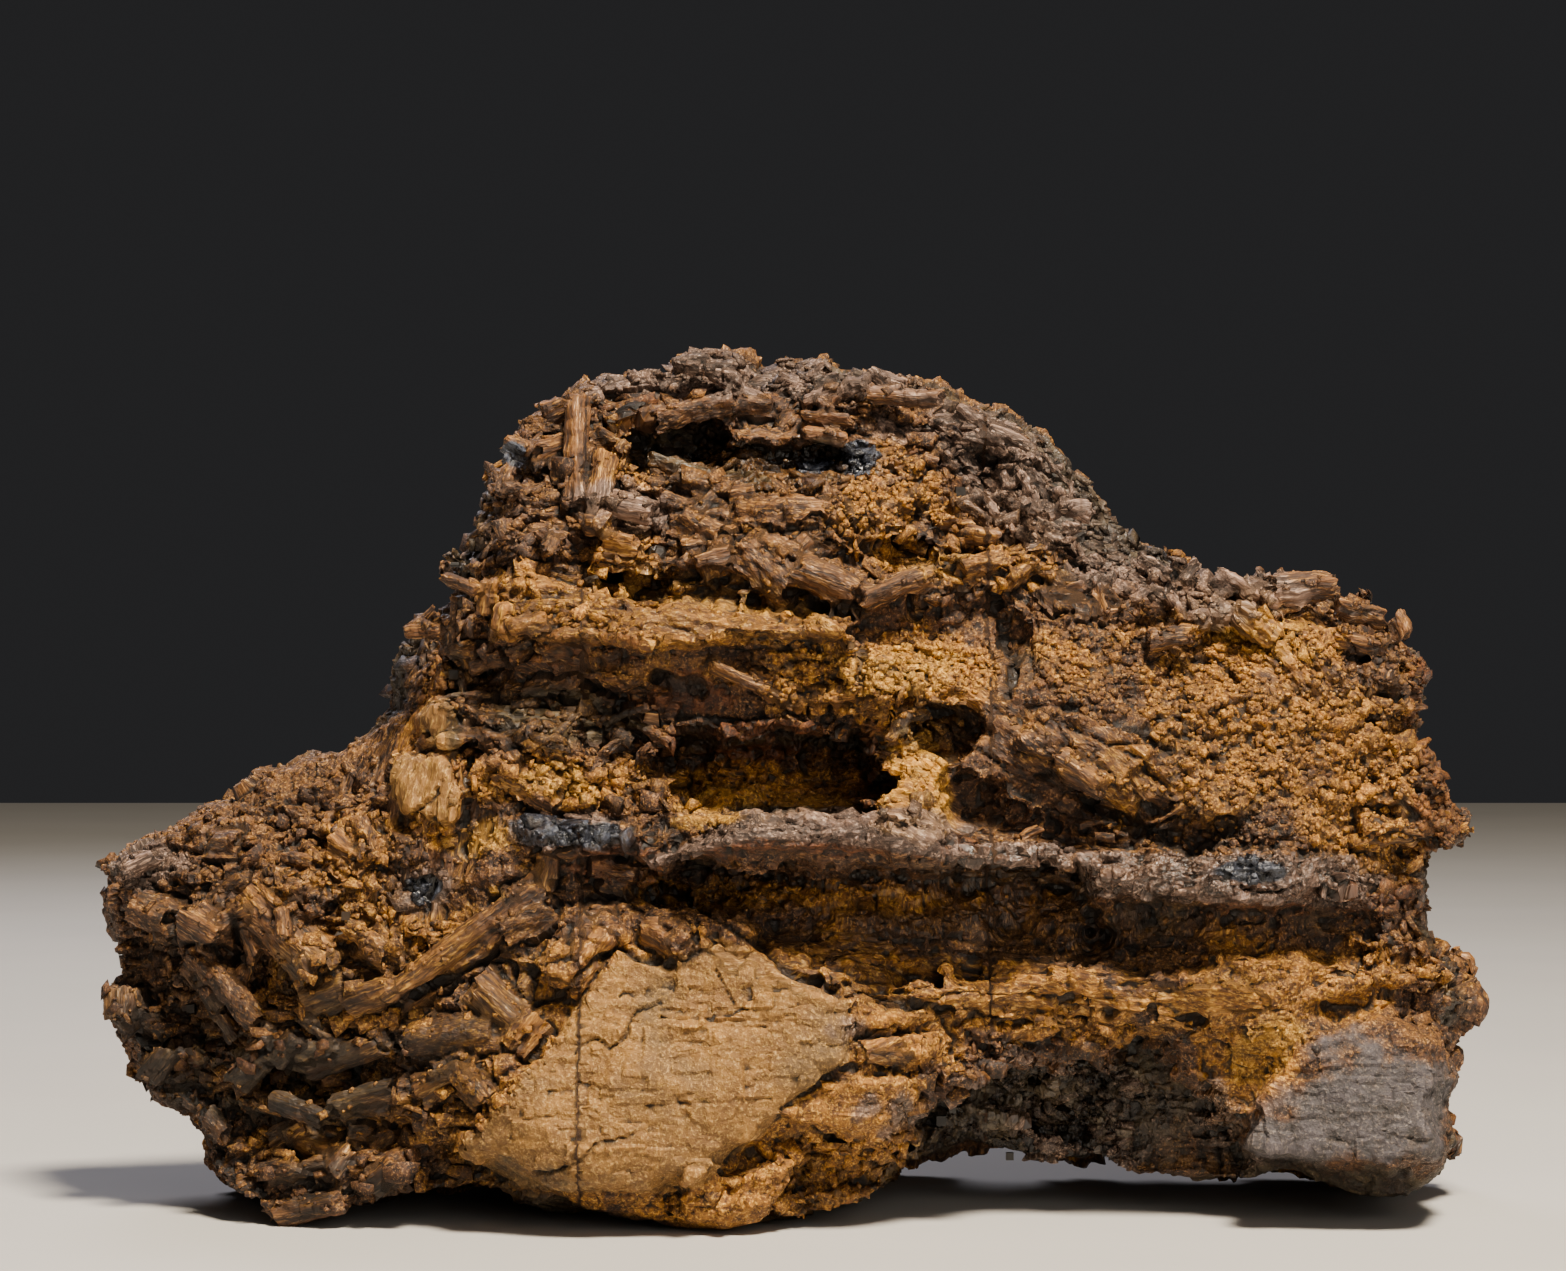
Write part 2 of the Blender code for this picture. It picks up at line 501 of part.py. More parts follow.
def move_to(obj, collection):
    for old in list(obj.users_collection):
        old.objects.unlink(obj)
    collection.objects.link(obj)


def limonite_stone(collection, cutters):
    """The whole stone: body and stems grown into one skin, thinned out, and flat where it rests."""
    stone = bpy.data.objects.new("limonite_stone", shaped_body(collection))
    collection.objects.link(stone)
    stems = stem_meshes()
    with bpy.context.temp_override(active_object=stone, selected_editable_objects=[stone, *stems]):
        bpy.ops.object.join()
    skin = remeshed(stone, SOLID_GRAIN * MM)
    largest_piece(skin)
    stone.modifiers.clear()
    stone.data = skin
    stone.data.materials.clear()
    stone.data.materials.append(limonite())

    thinned = stone.modifiers.new("thinned", "DECIMATE")
    thinned.ratio = TRIANGLES / (2 * len(skin.polygons))
    thinned.vertex_group = thinning_weights(stone).name
    thinned.vertex_group_factor = 1.0
    worn = stone.modifiers.new("flat where it rests", "BOOLEAN")
    worn.operation = "DIFFERENCE"
    worn.object = table_cutter(cutters)
    return stone


def build():
    clear_scene()
    stone_parts = bpy.data.collections.new("limonite_pseudomorph")
    cutters = bpy.data.collections.new("cutters")
    for collection in (stone_parts, cutters):
        bpy.context.scene.collection.children.link(collection)
    limonite_stone(stone_parts, cutters)


build()
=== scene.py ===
"""Limonite pseudomorph, dressed for the photograph's view and for every other side.

Buried stems and wood have turned to brown iron ore and are cemented into one block. A place on the front is
(across, up): where the camera's line of sight crosses the upright plane through the stone's middle, in
millimetres. deep is how far it lies behind that plane. in_room turns the three into metres.
"""

import math

import bmesh
import bpy
import numpy as np
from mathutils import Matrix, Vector


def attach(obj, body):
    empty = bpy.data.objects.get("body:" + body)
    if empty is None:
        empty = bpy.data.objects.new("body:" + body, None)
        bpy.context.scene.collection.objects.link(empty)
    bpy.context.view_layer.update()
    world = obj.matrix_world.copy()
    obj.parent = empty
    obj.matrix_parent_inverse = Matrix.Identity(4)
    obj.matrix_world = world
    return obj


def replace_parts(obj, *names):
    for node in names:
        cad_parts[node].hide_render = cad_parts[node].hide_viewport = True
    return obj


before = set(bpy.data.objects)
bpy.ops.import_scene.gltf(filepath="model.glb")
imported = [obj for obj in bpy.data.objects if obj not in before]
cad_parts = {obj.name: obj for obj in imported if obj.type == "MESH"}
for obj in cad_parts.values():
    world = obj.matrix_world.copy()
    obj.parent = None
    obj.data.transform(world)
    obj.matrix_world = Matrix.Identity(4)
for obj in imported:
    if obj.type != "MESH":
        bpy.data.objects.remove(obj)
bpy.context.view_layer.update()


# The body: the whole block of cemented ore, with its hollows, ledges and broken back.
# Two sheets, front and back, are worked out over a square grid inside the outline and joined by a rim.
# An even remesh then gives the faces that chips, flakes and crumbs are raised from.

EYE_AHEAD = 1250.0
EYE_UP = 165.5
MIDDLE_ACROSS = 1.9
MIDDLE_DEEP = 10.3
LEAST_THICKNESS = 14.0
FRONT_ROUNDING = 26.0
BACK_ROUNDING = 58.0
RIM_INSET = 4.0
WIDEST_AT = 0.3
GRID = 1.4
RIM_ROWS = 40
STATION_BATCH = 40000

# The outline, clockwise from the tip of the left wing: (across, up)
OUTLINE = [
    (-200, 93), (-199, 101), (-194, 107), (-184, 112), (-175, 116), (-163, 120), (-157, 124), (-153, 128),
    (-143, 128), (-138, 134), (-128, 138), (-123, 144), (-119, 147), (-115, 156), (-111, 162), (-109, 167),
    (-107, 172), (-99, 178), (-97, 181), (-100, 185), (-97, 189), (-94, 193), (-92, 200), (-90, 206),
    (-87, 215), (-81, 218), (-80, 223), (-75, 228), (-69, 231), (-62, 235), (-57, 240), (-50, 242),
    (-39, 244), (-30, 248), (-17, 249), (-9, 247), (-5, 245), (-1, 247), (13, 247), (18, 244),
    (37, 242), (44, 238), (52, 234), (64, 233), (73, 227), (80, 219), (91, 207), (97, 199),
    (106, 194), (116, 191), (123, 185), (131, 185), (135, 183), (141, 185), (157, 185), (160, 181),
    (170, 179), (178, 171), (187, 160), (188, 155), (186, 147), (186, 141), (184, 137), (191, 127),
    (195, 118), (200, 109), (195, 104), (189, 100), (191, 93), (189, 84), (193, 79), (199, 71),
    (197, 66), (200, 59), (195, 52), (194, 45), (196, 38), (192, 31), (196, 18), (191, 11),
    (181, 3), (159, 4), (146, 7), (133, 7), (118, 10), (102, 9), (93, 15), (73, 14),
    (64, 19), (53, 20), (46, 13), (38, 8), (32, 3), (11, -1), (-2, -5), (-18, -8),
    (-28, -5), (-39, -2), (-50, -3), (-68, 0), (-82, 5), (-102, 5), (-108, 3), (-123, -2),
    (-134, -5), (-144, -8), (-150, -5), (-153, 1), (-163, 6), (-169, 13), (-173, 22), (-185, 28),
    (-192, 40), (-196, 51), (-200, 59), (-199, 63), (-194, 67), (-195, 74), (-198, 84),
]

# How the front lies, by stations that the face is smoothed through: (across, up, deep)
FRONT_SPREAD = 15.0
FRONT_STATIONS = [
    # crown
    (-65, 225, -8), (-18, 234, 0), (-18, 214, -28), (34, 228, -12), (63, 216, -18), (-53, 199, -38),
    (-7, 193, -45), (34, 199, -40), (72, 187, -32),
    # middle
    (-76, 176, -42), (-39, 170, -55), (5, 164, -58), (48, 164, -50), (-102, 150, -30), (-70, 141, -48),
    (-30, 141, -50), (11, 141, -52), (48, 124, -55), (-102, 121, -42), (-65, 118, -55), (-7, 109, -66),
    (34, 108, -66),
    # right shoulder and flank
    (92, 170, -38), (121, 176, -25), (150, 170, -25), (176, 164, -15), (92, 141, -52), (135, 141, -50),
    (173, 141, -30), (193, 109, -12), (106, 118, -55), (150, 118, -50), (179, 95, -32), (135, 95, -58),
    (164, 92, -50),
    # left wing
    (-189, 100, -8), (-169, 109, -5), (-146, 121, -8), (-126, 132, -12), (-169, 89, -28), (-146, 83, -42),
    (-126, 95, -40), (-105, 95, -50), (-88, 83, -58), (-189, 74, -8), (-195, 60, -8), (-169, 63, -30),
    (-140, 57, -48), (-105, 57, -55), (-184, 37, -15), (-160, 34, -32), (-131, 37, -45), (-140, 8, -50),
    (-117, 11, -50), (-160, 13, -25),
    # foot and clay plate
    (-53, 89, -52), (-65, 66, -60), (-24, 71, -58), (-82, 31, -66), (-24, 37, -70), (19, 51, -64),
    (-53, 11, -72), (-18, -1, -66), (19, 16, -58), (48, 42, -50),
    # lower right
    (92, 66, -52), (121, 60, -55), (92, 45, -45), (121, 37, -40), (86, 25, -25), (121, 19, -35),
    (156, 66, -52), (185, 63, -35), (150, 37, -58), (179, 37, -52), (164, 16, -60),
]

# How the back lies, in the same way
BACK_SPREAD = 34.0
BACK_STATIONS = [
    (-190, 90, 42), (-150, 100, 58), (-150, 40, 55), (-100, 150, 60), (-100, 80, 82), (-100, 20, 66),
    (-60, 220, 52), (0, 235, 50), (60, 215, 55), (-50, 160, 84), (20, 165, 92), (90, 160, 70),
    (150, 165, 52), (-40, 80, 96), (40, 90, 100), (110, 90, 92), (170, 100, 62), (-30, 20, 84),
    (60, 30, 86), (130, 30, 74), (185, 50, 50),
]

# Where the rim that joins front and back begins and ends: (across, up, front deep, back deep)
RIM_SPREAD = 22.0
RIM_STATIONS = [
    (-60, 235, 2, 26), (0, 247, 8, 30), (60, 233, 4, 26), (85, 212, 2, 26), (120, 188, 2, 26),
    (160, 182, 0, 22), (186, 150, -2, 20), (197, 110, -6, 18), (192, 90, -12, 20), (198, 66, -28, 20),
    (195, 35, -38, 24), (185, 6, -44, 64), (145, 6, -30, 66), (100, 10, -14, 58), (60, 18, -14, 60),
    (30, 2, -50, 60), (-20, -7, -60, 64), (-50, -3, -60, 62), (-95, 5, -36, 52), (-123, -2, -46, 46),
    (-150, -5, -48, 40), (-180, 28, -20, 30), (-195, 50, -6, 26), (-197, 80, 0, 24), (-190, 108, 2, 26),
    (-150, 127, 0, 30), (-110, 165, -6, 24), (-97, 190, -6, 20), (-85, 215, -4, 22),
]

# Hollows: how deep each is at its upper and lower end, and its outline
HOLLOW_EDGE = 2.5
HOLLOWS = {
    "crown hollow": (24, 9, [
        (-54, 220), (-39, 225), (-24, 227), (-17, 225), (-14, 219), (5, 219), (19, 220), (17, 211),
        (-7, 209), (-17, 211), (-24, 218), (-39, 219)]),
    "band hollow": (15, 5, [
        (-50, 186), (-24, 182), (-7, 179), (12, 176), (9, 168), (-12, 174), (-39, 178), (-49, 181)]),
    "right slot": (14, 6, [(15, 192), (43, 192), (44, 187), (28, 182), (17, 187)]),
    "left hollow": (15, 4, [
        (-95, 158), (-76, 157), (-53, 150), (-40, 147), (-41, 133), (-56, 131), (-91, 145)]),
    "crack beside the yellow block": (13, 13, [
        (-97, 153), (-94, 147), (-92, 134), (-93, 120), (-95, 121), (-95, 134), (-97, 147)]),
    "cave": (38, 24, [
        (-39, 127), (-27, 131), (-4, 134), (19, 132), (27, 129), (30, 118), (19, 114), (2, 116),
        (-12, 116), (-24, 114), (-34, 120)]),
    "hole beside the rib": (22, 6, [(38, 145), (59, 142), (60, 137), (43, 133)]),
    "brown hollow": (10, 2, [
        (25, 173), (63, 176), (75, 164), (73, 150), (60, 149), (51, 158), (25, 161)]),
    "notch above the shelf": (12, 3, [(48, 123), (63, 118), (77, 109), (66, 104), (50, 106)]),
    "slot above the shelf": (9, 3, [(89, 113), (106, 115), (138, 109), (138, 105), (98, 106)]),
    "notch in the right edge": (12, 6, [(179, 101), (193, 103), (193, 93), (182, 95)]),
    "upper gap in the wing": (12, 6, [(-197, 78), (-181, 71), (-175, 60), (-186, 57), (-195, 67)]),
    "middle gap in the wing": (12, 5, [(-158, 71), (-143, 68), (-134, 58), (-151, 56)]),
    "lower gap in the wing": (11, 5, [(-184, 56), (-162, 60), (-156, 45), (-179, 48)]),
    "gap in the foot": (12, 5, [(-150, 41), (-140, 40), (-114, 43), (-112, 37), (-131, 31), (-149, 34)]),
    "shaded belly of the foot": (8, 5, [
        (-157, 28), (-134, 21), (-111, 24), (-110, 16), (-140, 13), (-162, 21)]),
    "recess under the shelf": (36, 6, [
        (-41, 93), (-33, 97), (-12, 99), (19, 98), (83, 98), (88, 89), (95, 77), (80, 67),
        (63, 64), (46, 69), (30, 64), (11, 70), (-4, 76), (-18, 86), (-30, 87)]),
    "recess under the shelf's end": (18, 3, [
        (88, 89), (170, 85), (170, 74), (150, 75), (133, 74), (115, 71), (104, 64), (90, 71)]),
    "undercut belly": (20, 24, [
        (43, 26), (63, 35), (86, 38), (106, 42), (124, 31), (134, 16), (133, 2), (92, 5), (43, 10)]),
    "undercut of the grey plate": (14, 26, [(135, 13), (197, 11), (190, -3), (135, -3)]),
    "arch beside the foot": (16, 26, [
        (-106, 15), (-95, 17), (-82, 9), (-70, 6), (-62, -3), (-82, -3), (-108, 0)]),
    "notch beside the lobe": (14, 20, [(-39, 6), (-29, 9), (-27, -8), (-39, -8)]),
    "undercut beside the lobe": (10, 22, [(2, 11), (14, 16), (40, 12), (33, -4), (5, -8)]),
}

# Ledges: how far each stands out at its upper and lower end, and its outline
LEDGE_EDGE = 2.0
LEDGES = {
    "clay plate": (3, 7, [
        (-95, 16), (-82, 28), (-69, 44), (-57, 63), (-46, 73), (-30, 71), (-18, 78), (-11, 75), (9, 64),
        (19, 59), (19, 42), (12, 38), (-1, 27), (-12, 16), (-24, 5), (-41, 3), (-70, 5), (-85, 10)]),
    "lobe under the plate": (3, 4, [(-28, 9), (-12, 11), (6, 16), (2, 2), (-12, -9), (-24, -8), (-30, 0)]),
    "bench beside the plate": (4, 5, [(-4, 27), (21, 37), (41, 38), (40, 27), (22, 19), (5, 23)]),
    "upper brick": (4, 4, [(21, 58), (45, 60), (46, 52), (22, 51)]),
    "lower brick": (4, 4, [(22, 48), (47, 51), (48, 43), (23, 41)]),
    "lip of the shelf": (9, 13, [
        (-41, 100), (-27, 106), (-18, 109), (-11, 115), (-1, 116), (19, 113), (34, 113), (47, 109),
        (47, 100), (25, 104), (-7, 107), (-24, 103), (-39, 97)]),
    "step of the shelf": (9, 12, [(48, 99), (49, 104), (63, 103), (75, 106), (83, 103), (84, 98)]),
    "end of the shelf": (5, 9, [
        (85, 103), (121, 102), (147, 102), (167, 101), (170, 86), (121, 89), (88, 90)]),
    "blue lumps": (7, 9, [(-81, 112), (-73, 114), (-47, 109), (-41, 105), (-53, 103), (-76, 104)]),
    "wooden ledge": (5, 9, [
        (-86, 183), (-65, 184), (-39, 179), (-7, 176), (19, 169), (22, 164), (-7, 163), (-41, 161),
        (-82, 164), (-91, 176)]),
    "wooden sliver": (3, 5, [(-82, 189), (-47, 191), (-24, 189), (-27, 186), (-53, 184), (-82, 185)]),
    "lower yellow block": (6, 7, [(-114, 126), (-110, 131), (-98, 131), (-93, 121), (-95, 109), (-111, 114)]),
    "upper yellow block": (8, 8, [(-106, 142), (-102, 147), (-97, 146), (-93, 140), (-95, 132), (-102, 133)]),
    "ochre rib": (5, 7, [(28, 129), (38, 127), (47, 118), (48, 109), (35, 111), (29, 117)]),
    "grey plate": (4, 7, [
        (133, 17), (137, 31), (150, 46), (173, 58), (191, 48), (195, 37), (192, 30), (191, 12), (139, 13)]),
    "slab in the wing": (9, 11, [
        (-157, 89), (-149, 98), (-140, 92), (-131, 71), (-135, 64), (-144, 70), (-155, 82)]),
    "block in the wing": (6, 8, [(-173, 87), (-162, 89), (-159, 75), (-171, 77)]),
    "yellow knob": (4, 7, [(18, 158), (34, 163), (50, 156), (51, 150), (35, 145), (19, 150)]),
    "scar on the flank": (2, 6, [(75, 147), (104, 142), (111, 134), (98, 118), (80, 124), (66, 134)]),
    "left flap": (4, 8, [(-65, 85), (-53, 89), (-45, 77), (-50, 74), (-62, 63), (-69, 67)]),
    "right flap": (4, 8, [(-41, 87), (-24, 79), (-30, 70), (-37, 76)]),
}

CHIP_LAYERS = [(46.0, 6.0, 1), (19.0, 3.2, 2)]
SMOOTH_SHARE = 0.35

# Ledges with one flat face, and how smooth some of the ledges are
FLAT = ("grey plate", "lower yellow block", "upper yellow block")
SMOOTH = {
    "clay plate": 1.0, "grey plate": 1.0, "lower yellow block": 1.0, "upper yellow block": 1.0,
    "wooden ledge": 0.6, "lobe under the plate": 0.75, "bench beside the plate": 0.7, "upper brick": 0.6,
    "lower brick": 0.6, "left flap": 0.6, "right flap": 0.6, "scar on the flank": 0.5,
}


def stirred(cells, seed):
    """A scrambled whole number of 31 bits for each whole-number cell, the same for the same cell and seed."""
    cells = cells.astype(np.int64)
    mixed = (cells[..., 0] * 73856093) ^ (cells[..., 1] * 19349663) ^ (cells[..., 2] * 83492791)
    mixed = mixed ^ (seed * 2654435761)
    mixed = ((mixed ^ (mixed >> 13)) * 1274126177) & 0x7FFFFFFF
    mixed = ((mixed ^ (mixed >> 15)) * 668265263) & 0x7FFFFFFF
    return mixed ^ (mixed >> 12)


def lattice(cells, seed):
    """A number between -1 and 1 for each whole-number cell."""
    return stirred(cells, seed) % 65536 / 32767.5 - 1


def smooth_noise(points, size, seed):
    """Noise between -1 and 1: the lattice's numbers at the eight corners round each point, blended smoothly."""
    scaled = points / size
    low = np.floor(scaled)
    share = scaled - low
    share = share * share * (3 - 2 * share)
    total = np.zeros(len(points))
    for corner in np.ndindex(2, 2, 2):
        weight = np.prod(np.where(corner, share, 1 - share), axis=1)
        total += weight * lattice(low + corner, seed)
    return total


def chips(points, size, seed, crown=1.6, tilt=1.0):
    """Height of a chipped surface, about -1 to 1: in each cell a tilted cap sits on a jittered centre,
    cap = level + slope . offset - crown * offset^2, and the highest of the nearby caps shows."""
    scaled = points / size
    home = np.floor(scaled)
    best = np.full(len(points), -np.inf)
    for step in np.ndindex(3, 3, 3):
        cell = home + step - 1
        jitter, slope = (
            np.stack([lattice(cell, seed * 31 + kind * 7 + axis) for axis in range(3)], axis=1)
            for kind in (0, 1))
        offset = scaled - (cell + 0.5 + 0.42 * jitter)
        level = 0.45 * lattice(cell, seed * 31 + 29)
        cap = level + tilt * (slope * offset).sum(axis=1) - crown * (offset * offset).sum(axis=1)
        best = np.maximum(best, cap)
    return best


def facets(points, seed, crown=0.6, tilt=0.8):
    """A surface of sharp chips for very many points, where only the eight nearest cells are tried and a cap
    falls off as crown * (|x| + |y| + |z|). Returns its height, the crack between neighbouring chips from 0
    to 1, and a number from -1 to 1 for each chip."""
    points = points.astype(np.float32)
    home = np.floor(points - 0.5)
    best = np.full(len(points), -9, np.float32)
    second = best.copy()
    mark = np.zeros(len(points), np.float32)
    for step in np.ndindex(2, 2, 2):
        cell = home + np.array(step, np.float32)
        one = stirred(cell, seed)
        two = stirred(cell, seed + 1)
        own = ((one ^ two) & 1023).astype(np.float32) / 511.5 - 1
        cap = 0.4 * own
        for axis in range(3):
            jitter = ((one >> (10 * axis)) & 1023).astype(np.float32) / 511.5 - 1
            slope = ((two >> (10 * axis)) & 1023).astype(np.float32) / 511.5 - 1
            offset = points[:, axis] - cell[:, axis] - 0.5 - 0.42 * jitter
            cap += tilt * slope * offset - crown * np.abs(offset)
        second = np.maximum(second, np.minimum(best, cap))
        mark = np.where(cap > best, ((one >> 5 ^ two >> 9) & 1023).astype(np.float32) / 511.5 - 1, mark)
        best = np.maximum(best, cap)
    crack = np.clip(1 - (best - second) / 0.12, 0, 1)
    return best.astype(float), crack.astype(float), mark.astype(float)


def ramp(values, width):
    """0 below -width, 1 above width, and a smooth rise between."""
    share = np.clip(values / (2 * width) + 0.5, 0, 1)
    return share * share * (3 - 2 * share)


def inset(face, outline, reach=np.inf):
    """How far each point lies inside a closed outline, negative outside, and the unit vector inwards.
    Points further than reach from the outline's box are only marked as outside."""
    corners = np.array(outline, float)
    near = ((face > corners.min(axis=0) - reach) & (face < corners.max(axis=0) + reach)).all(axis=1)
    point = face[near]
    nearest = np.full(len(point), np.inf)
    offsets = np.zeros((len(point), 2))
    inside = np.zeros(len(point), bool)
    for start, end in zip(corners, np.roll(corners, -1, axis=0)):
        run = end - start
        share = np.clip((point - start) @ run / (run @ run), 0, 1)
        offset = point - (start + share[:, None] * run)
        distance = np.hypot(offset[:, 0], offset[:, 1])
        closer = distance < nearest
        nearest = np.where(closer, distance, nearest)
        offsets[closer] = offset[closer]
        crosses = (start[1] > point[:, 1]) != (end[1] > point[:, 1])
        height = run[1] if abs(run[1]) > 1e-9 else 1e-9
        inside ^= crosses & (point[:, 0] < start[0] + (point[:, 1] - start[1]) / height * run[0])
    sign = np.where(inside, 1.0, -1.0)
    distances = np.full(len(face), -1e3)
    inwards = np.zeros((len(face), 2))
    distances[near] = nearest * sign
    inwards[near] = offsets * (sign / np.maximum(nearest, 1e-6))[:, None]
    return distances, inwards


def through_stations(face, stations, spread):
    """Depth of a sheet that passes smoothly near the stations: their depths, weighted by
    exp(-r^2 / 2 spread^2)."""
    known = np.array(stations, float)
    sheets = []
    for some in np.array_split(face, len(face) // STATION_BATCH + 1):
        squares = ((some[:, None, :] - known[None, :, :2]) ** 2).sum(axis=2)
        weights = np.exp((squares.min(axis=1, keepdims=True) - squares) / (2 * spread * spread))
        sheets.append((weights @ known[:, 2:]) / weights.sum(axis=1, keepdims=True))
    return np.concatenate(sheets)


def raised(face, upper, lower, outline, edge):
    """Height of one ledge or hollow: from its lower end's value to its upper end's, with a ragged edge."""
    corners = np.array(outline, float)
    share = np.clip((face[:, 1] - corners[:, 1].min()) / np.ptp(corners[:, 1]), 0, 1)
    distance, _ = inset(face, outline, 2 * edge)
    return (lower + (upper - lower) * share) * ramp(distance, edge)


def fray_at(face):
    """How far the edges of soft patches wander at each place, as a share of their size."""
    points = np.column_stack([face[:, 0], np.zeros(len(face)), face[:, 1]])
    return 0.35 * smooth_noise(points, 14.0, 21) + 0.25 * smooth_noise(points, 5.0, 22)


def patches(face, listed, fray):
    """The strongest of some soft oval patches at each place: (across, up, half width, half height, turn in
    degrees, strength). A patch is its strength inside its oval, with a soft and frayed edge."""
    total = np.zeros(len(face))
    for across, up, half_width, half_height, turn, strength in listed:
        cosine, sine = math.cos(math.radians(turn)), math.sin(math.radians(turn))
        offset = face - (across, up)
        along = (offset[:, 0] * cosine + offset[:, 1] * sine) / half_width
        beside = (offset[:, 1] * cosine - offset[:, 0] * sine) / half_height
        total = np.maximum(total, strength * ramp(1.0 - np.hypot(along, beside) + fray, 0.45))
    return total


def within(face, names, edge=2.5):
    """How far each place belongs to any of some named ledges or hollows, 0 to 1."""
    inside = np.zeros(len(face))
    for name in names:
        outline = LEDGES[name][2] if name in LEDGES else HOLLOWS[name][2]
        inside = np.maximum(inside, ramp(inset(face, outline, 3 * edge)[0], edge))
    return inside


def smooth_ledges(face):
    """How far each place belongs to one of the stone's smooth plates and blocks, 0 to 1."""
    smooth = np.zeros(len(face))
    for name, share in SMOOTH.items():
        distance, _ = inset(face, LEDGES[name][2], 8.0)
        smooth = np.maximum(smooth, share * ramp(distance, 3.0))
    return smooth


def blocks(face, size, seed):
    """Three numbers between -1 and 1 for the broken block that each place belongs to: that of the nearest
    jittered centre in a net of cells, so that the numbers change abruptly from block to block."""
    scaled = face / size
    home = np.floor(scaled)
    nearest = np.full(len(face), np.inf)
    owner = np.zeros((len(face), 3))
    for step in np.ndindex(3, 3):
        cell = np.column_stack([home + step - 1, np.zeros(len(face))])
        jitter = np.stack([lattice(cell, seed * 17 + axis) for axis in (0, 1)], axis=1)
        distance = np.abs(scaled - (cell[:, :2] + 0.5 + 0.4 * jitter)).sum(axis=1)
        closer = distance < nearest
        nearest = np.where(closer, distance, nearest)
        owner[closer] = cell[closer]
    return np.stack([lattice(owner, seed * 17 + 5 + axis) for axis in range(3)], axis=1)


def ragged(face):
    """The places on the face, shifted by up to 4 mm so that edges run as broken stone does."""
    points = np.column_stack([face[:, 0], np.zeros(len(face)), face[:, 1]])
    coarse = [1.3 * smooth_noise(points, 9.0, seed) for seed in (11, 12)]
    fine = [0.7 * smooth_noise(points, 2.6, seed) for seed in (13, 14)]
    broken = 2.0 * blocks(face, np.array([11.0, 6.0]), 3)[:, :2]
    broken += blocks(face, np.array([5.0, 3.0]), 4)[:, :2]
    return face + np.column_stack(coarse) + np.column_stack(fine) + broken


def front_depth(face):
    """Depth of the front: the sheet through its stations, less each ledge, plus each hollow, with small
    steps from block to block where the ore is rubble. The FLAT ledges are drawn onto their best plane."""
    broken = ragged(face)
    deep = through_stations(0.4 * face + 0.6 * broken, FRONT_STATIONS, FRONT_SPREAD)[:, 0]
    steps = 1.3 * blocks(broken, np.array([12.0, 5.5]), 6)[:, 2]
    steps += 0.8 * blocks(broken, np.array([6.0, 3.6]), 7)[:, 2]
    deep += steps * np.clip(0.25 + patches(face, RUBBLE, fray_at(face)), 0, 1) * (1 - smooth_ledges(face))
    for upper, lower, outline in LEDGES.values():
        deep -= raised(broken, upper, lower, outline, LEDGE_EDGE)
    for upper, lower, outline in HOLLOWS.values():
        deep += raised(broken, upper, lower, outline, HOLLOW_EDGE)
    for name in FLAT:
        share = within(face, (name,), 2.0)
        middle = share > 0.5
        if middle.sum() > 50:
            terms = np.column_stack([face, np.ones(len(face))])
            plane = terms @ np.linalg.lstsq(terms[middle], deep[middle], rcond=None)[0]
            deep += share * (plane - deep)
    return deep


def in_room(face, deep):
    """World place in metres of points seen at (across, up) and lying deep behind the middle plane."""
    scale = 1 + deep / EYE_AHEAD
    across = face[:, 0] * scale - MIDDLE_ACROSS
    up = EYE_UP + (face[:, 1] - EYE_UP) * scale
    return np.column_stack([across, deep - MIDDLE_DEEP, up]) / 1000


def from_room(places):
    """(across, up) and deep of world places in metres: the reverse of in_room."""
    deep = places[:, 1] * 1000 + MIDDLE_DEEP
    scale = 1 + deep / EYE_AHEAD
    across = (places[:, 0] * 1000 + MIDDLE_ACROSS) / scale
    up = EYE_UP + (places[:, 2] * 1000 - EYE_UP) / scale
    return np.column_stack([across, up]), deep


def mesh_from(name, points, faces):
    """A mesh of points and faces, each face a row of vertex numbers."""
    mesh = bpy.data.meshes.new(name)
    mesh.vertices.add(len(points))
    mesh.vertices.foreach_set("co", np.ascontiguousarray(points, np.float32).ravel())
    corners = faces.shape[1]
    mesh.loops.add(faces.size)
    mesh.loops.foreach_set("vertex_index", np.ascontiguousarray(faces, np.int32).ravel())
    mesh.polygons.add(len(faces))
    mesh.polygons.foreach_set("loop_start", np.arange(0, faces.size, corners, dtype=np.int32))
    mesh.update(calc_edges=True)
    return mesh


def vertices_and_normals(mesh):
    points = np.empty(len(mesh.vertices) * 3, np.float32)
    normals = np.empty(len(mesh.vertices) * 3, np.float32)
    mesh.vertices.foreach_get("co", points)
    mesh.vertex_normals.foreach_get("vector", normals)
    return points.reshape(-1, 3).astype(float), normals.reshape(-1, 3).astype(float)


def set_vertices(mesh, points):
    mesh.vertices.foreach_set("co", np.ascontiguousarray(points, np.float32).ravel())
    mesh.update()


def with_modifier(mesh, kind, **settings):
    """The mesh as one modifier leaves it."""
    holder = bpy.data.objects.new("holder", mesh)
    bpy.context.scene.collection.objects.link(holder)
    modifier = holder.modifiers.new("made", kind)
    for name, value in settings.items():
        setattr(modifier, name, value)
    evaluated = holder.evaluated_get(bpy.context.evaluated_depsgraph_get())
    result = bpy.data.meshes.new_from_object(evaluated)
    bpy.data.objects.remove(holder)
    return result


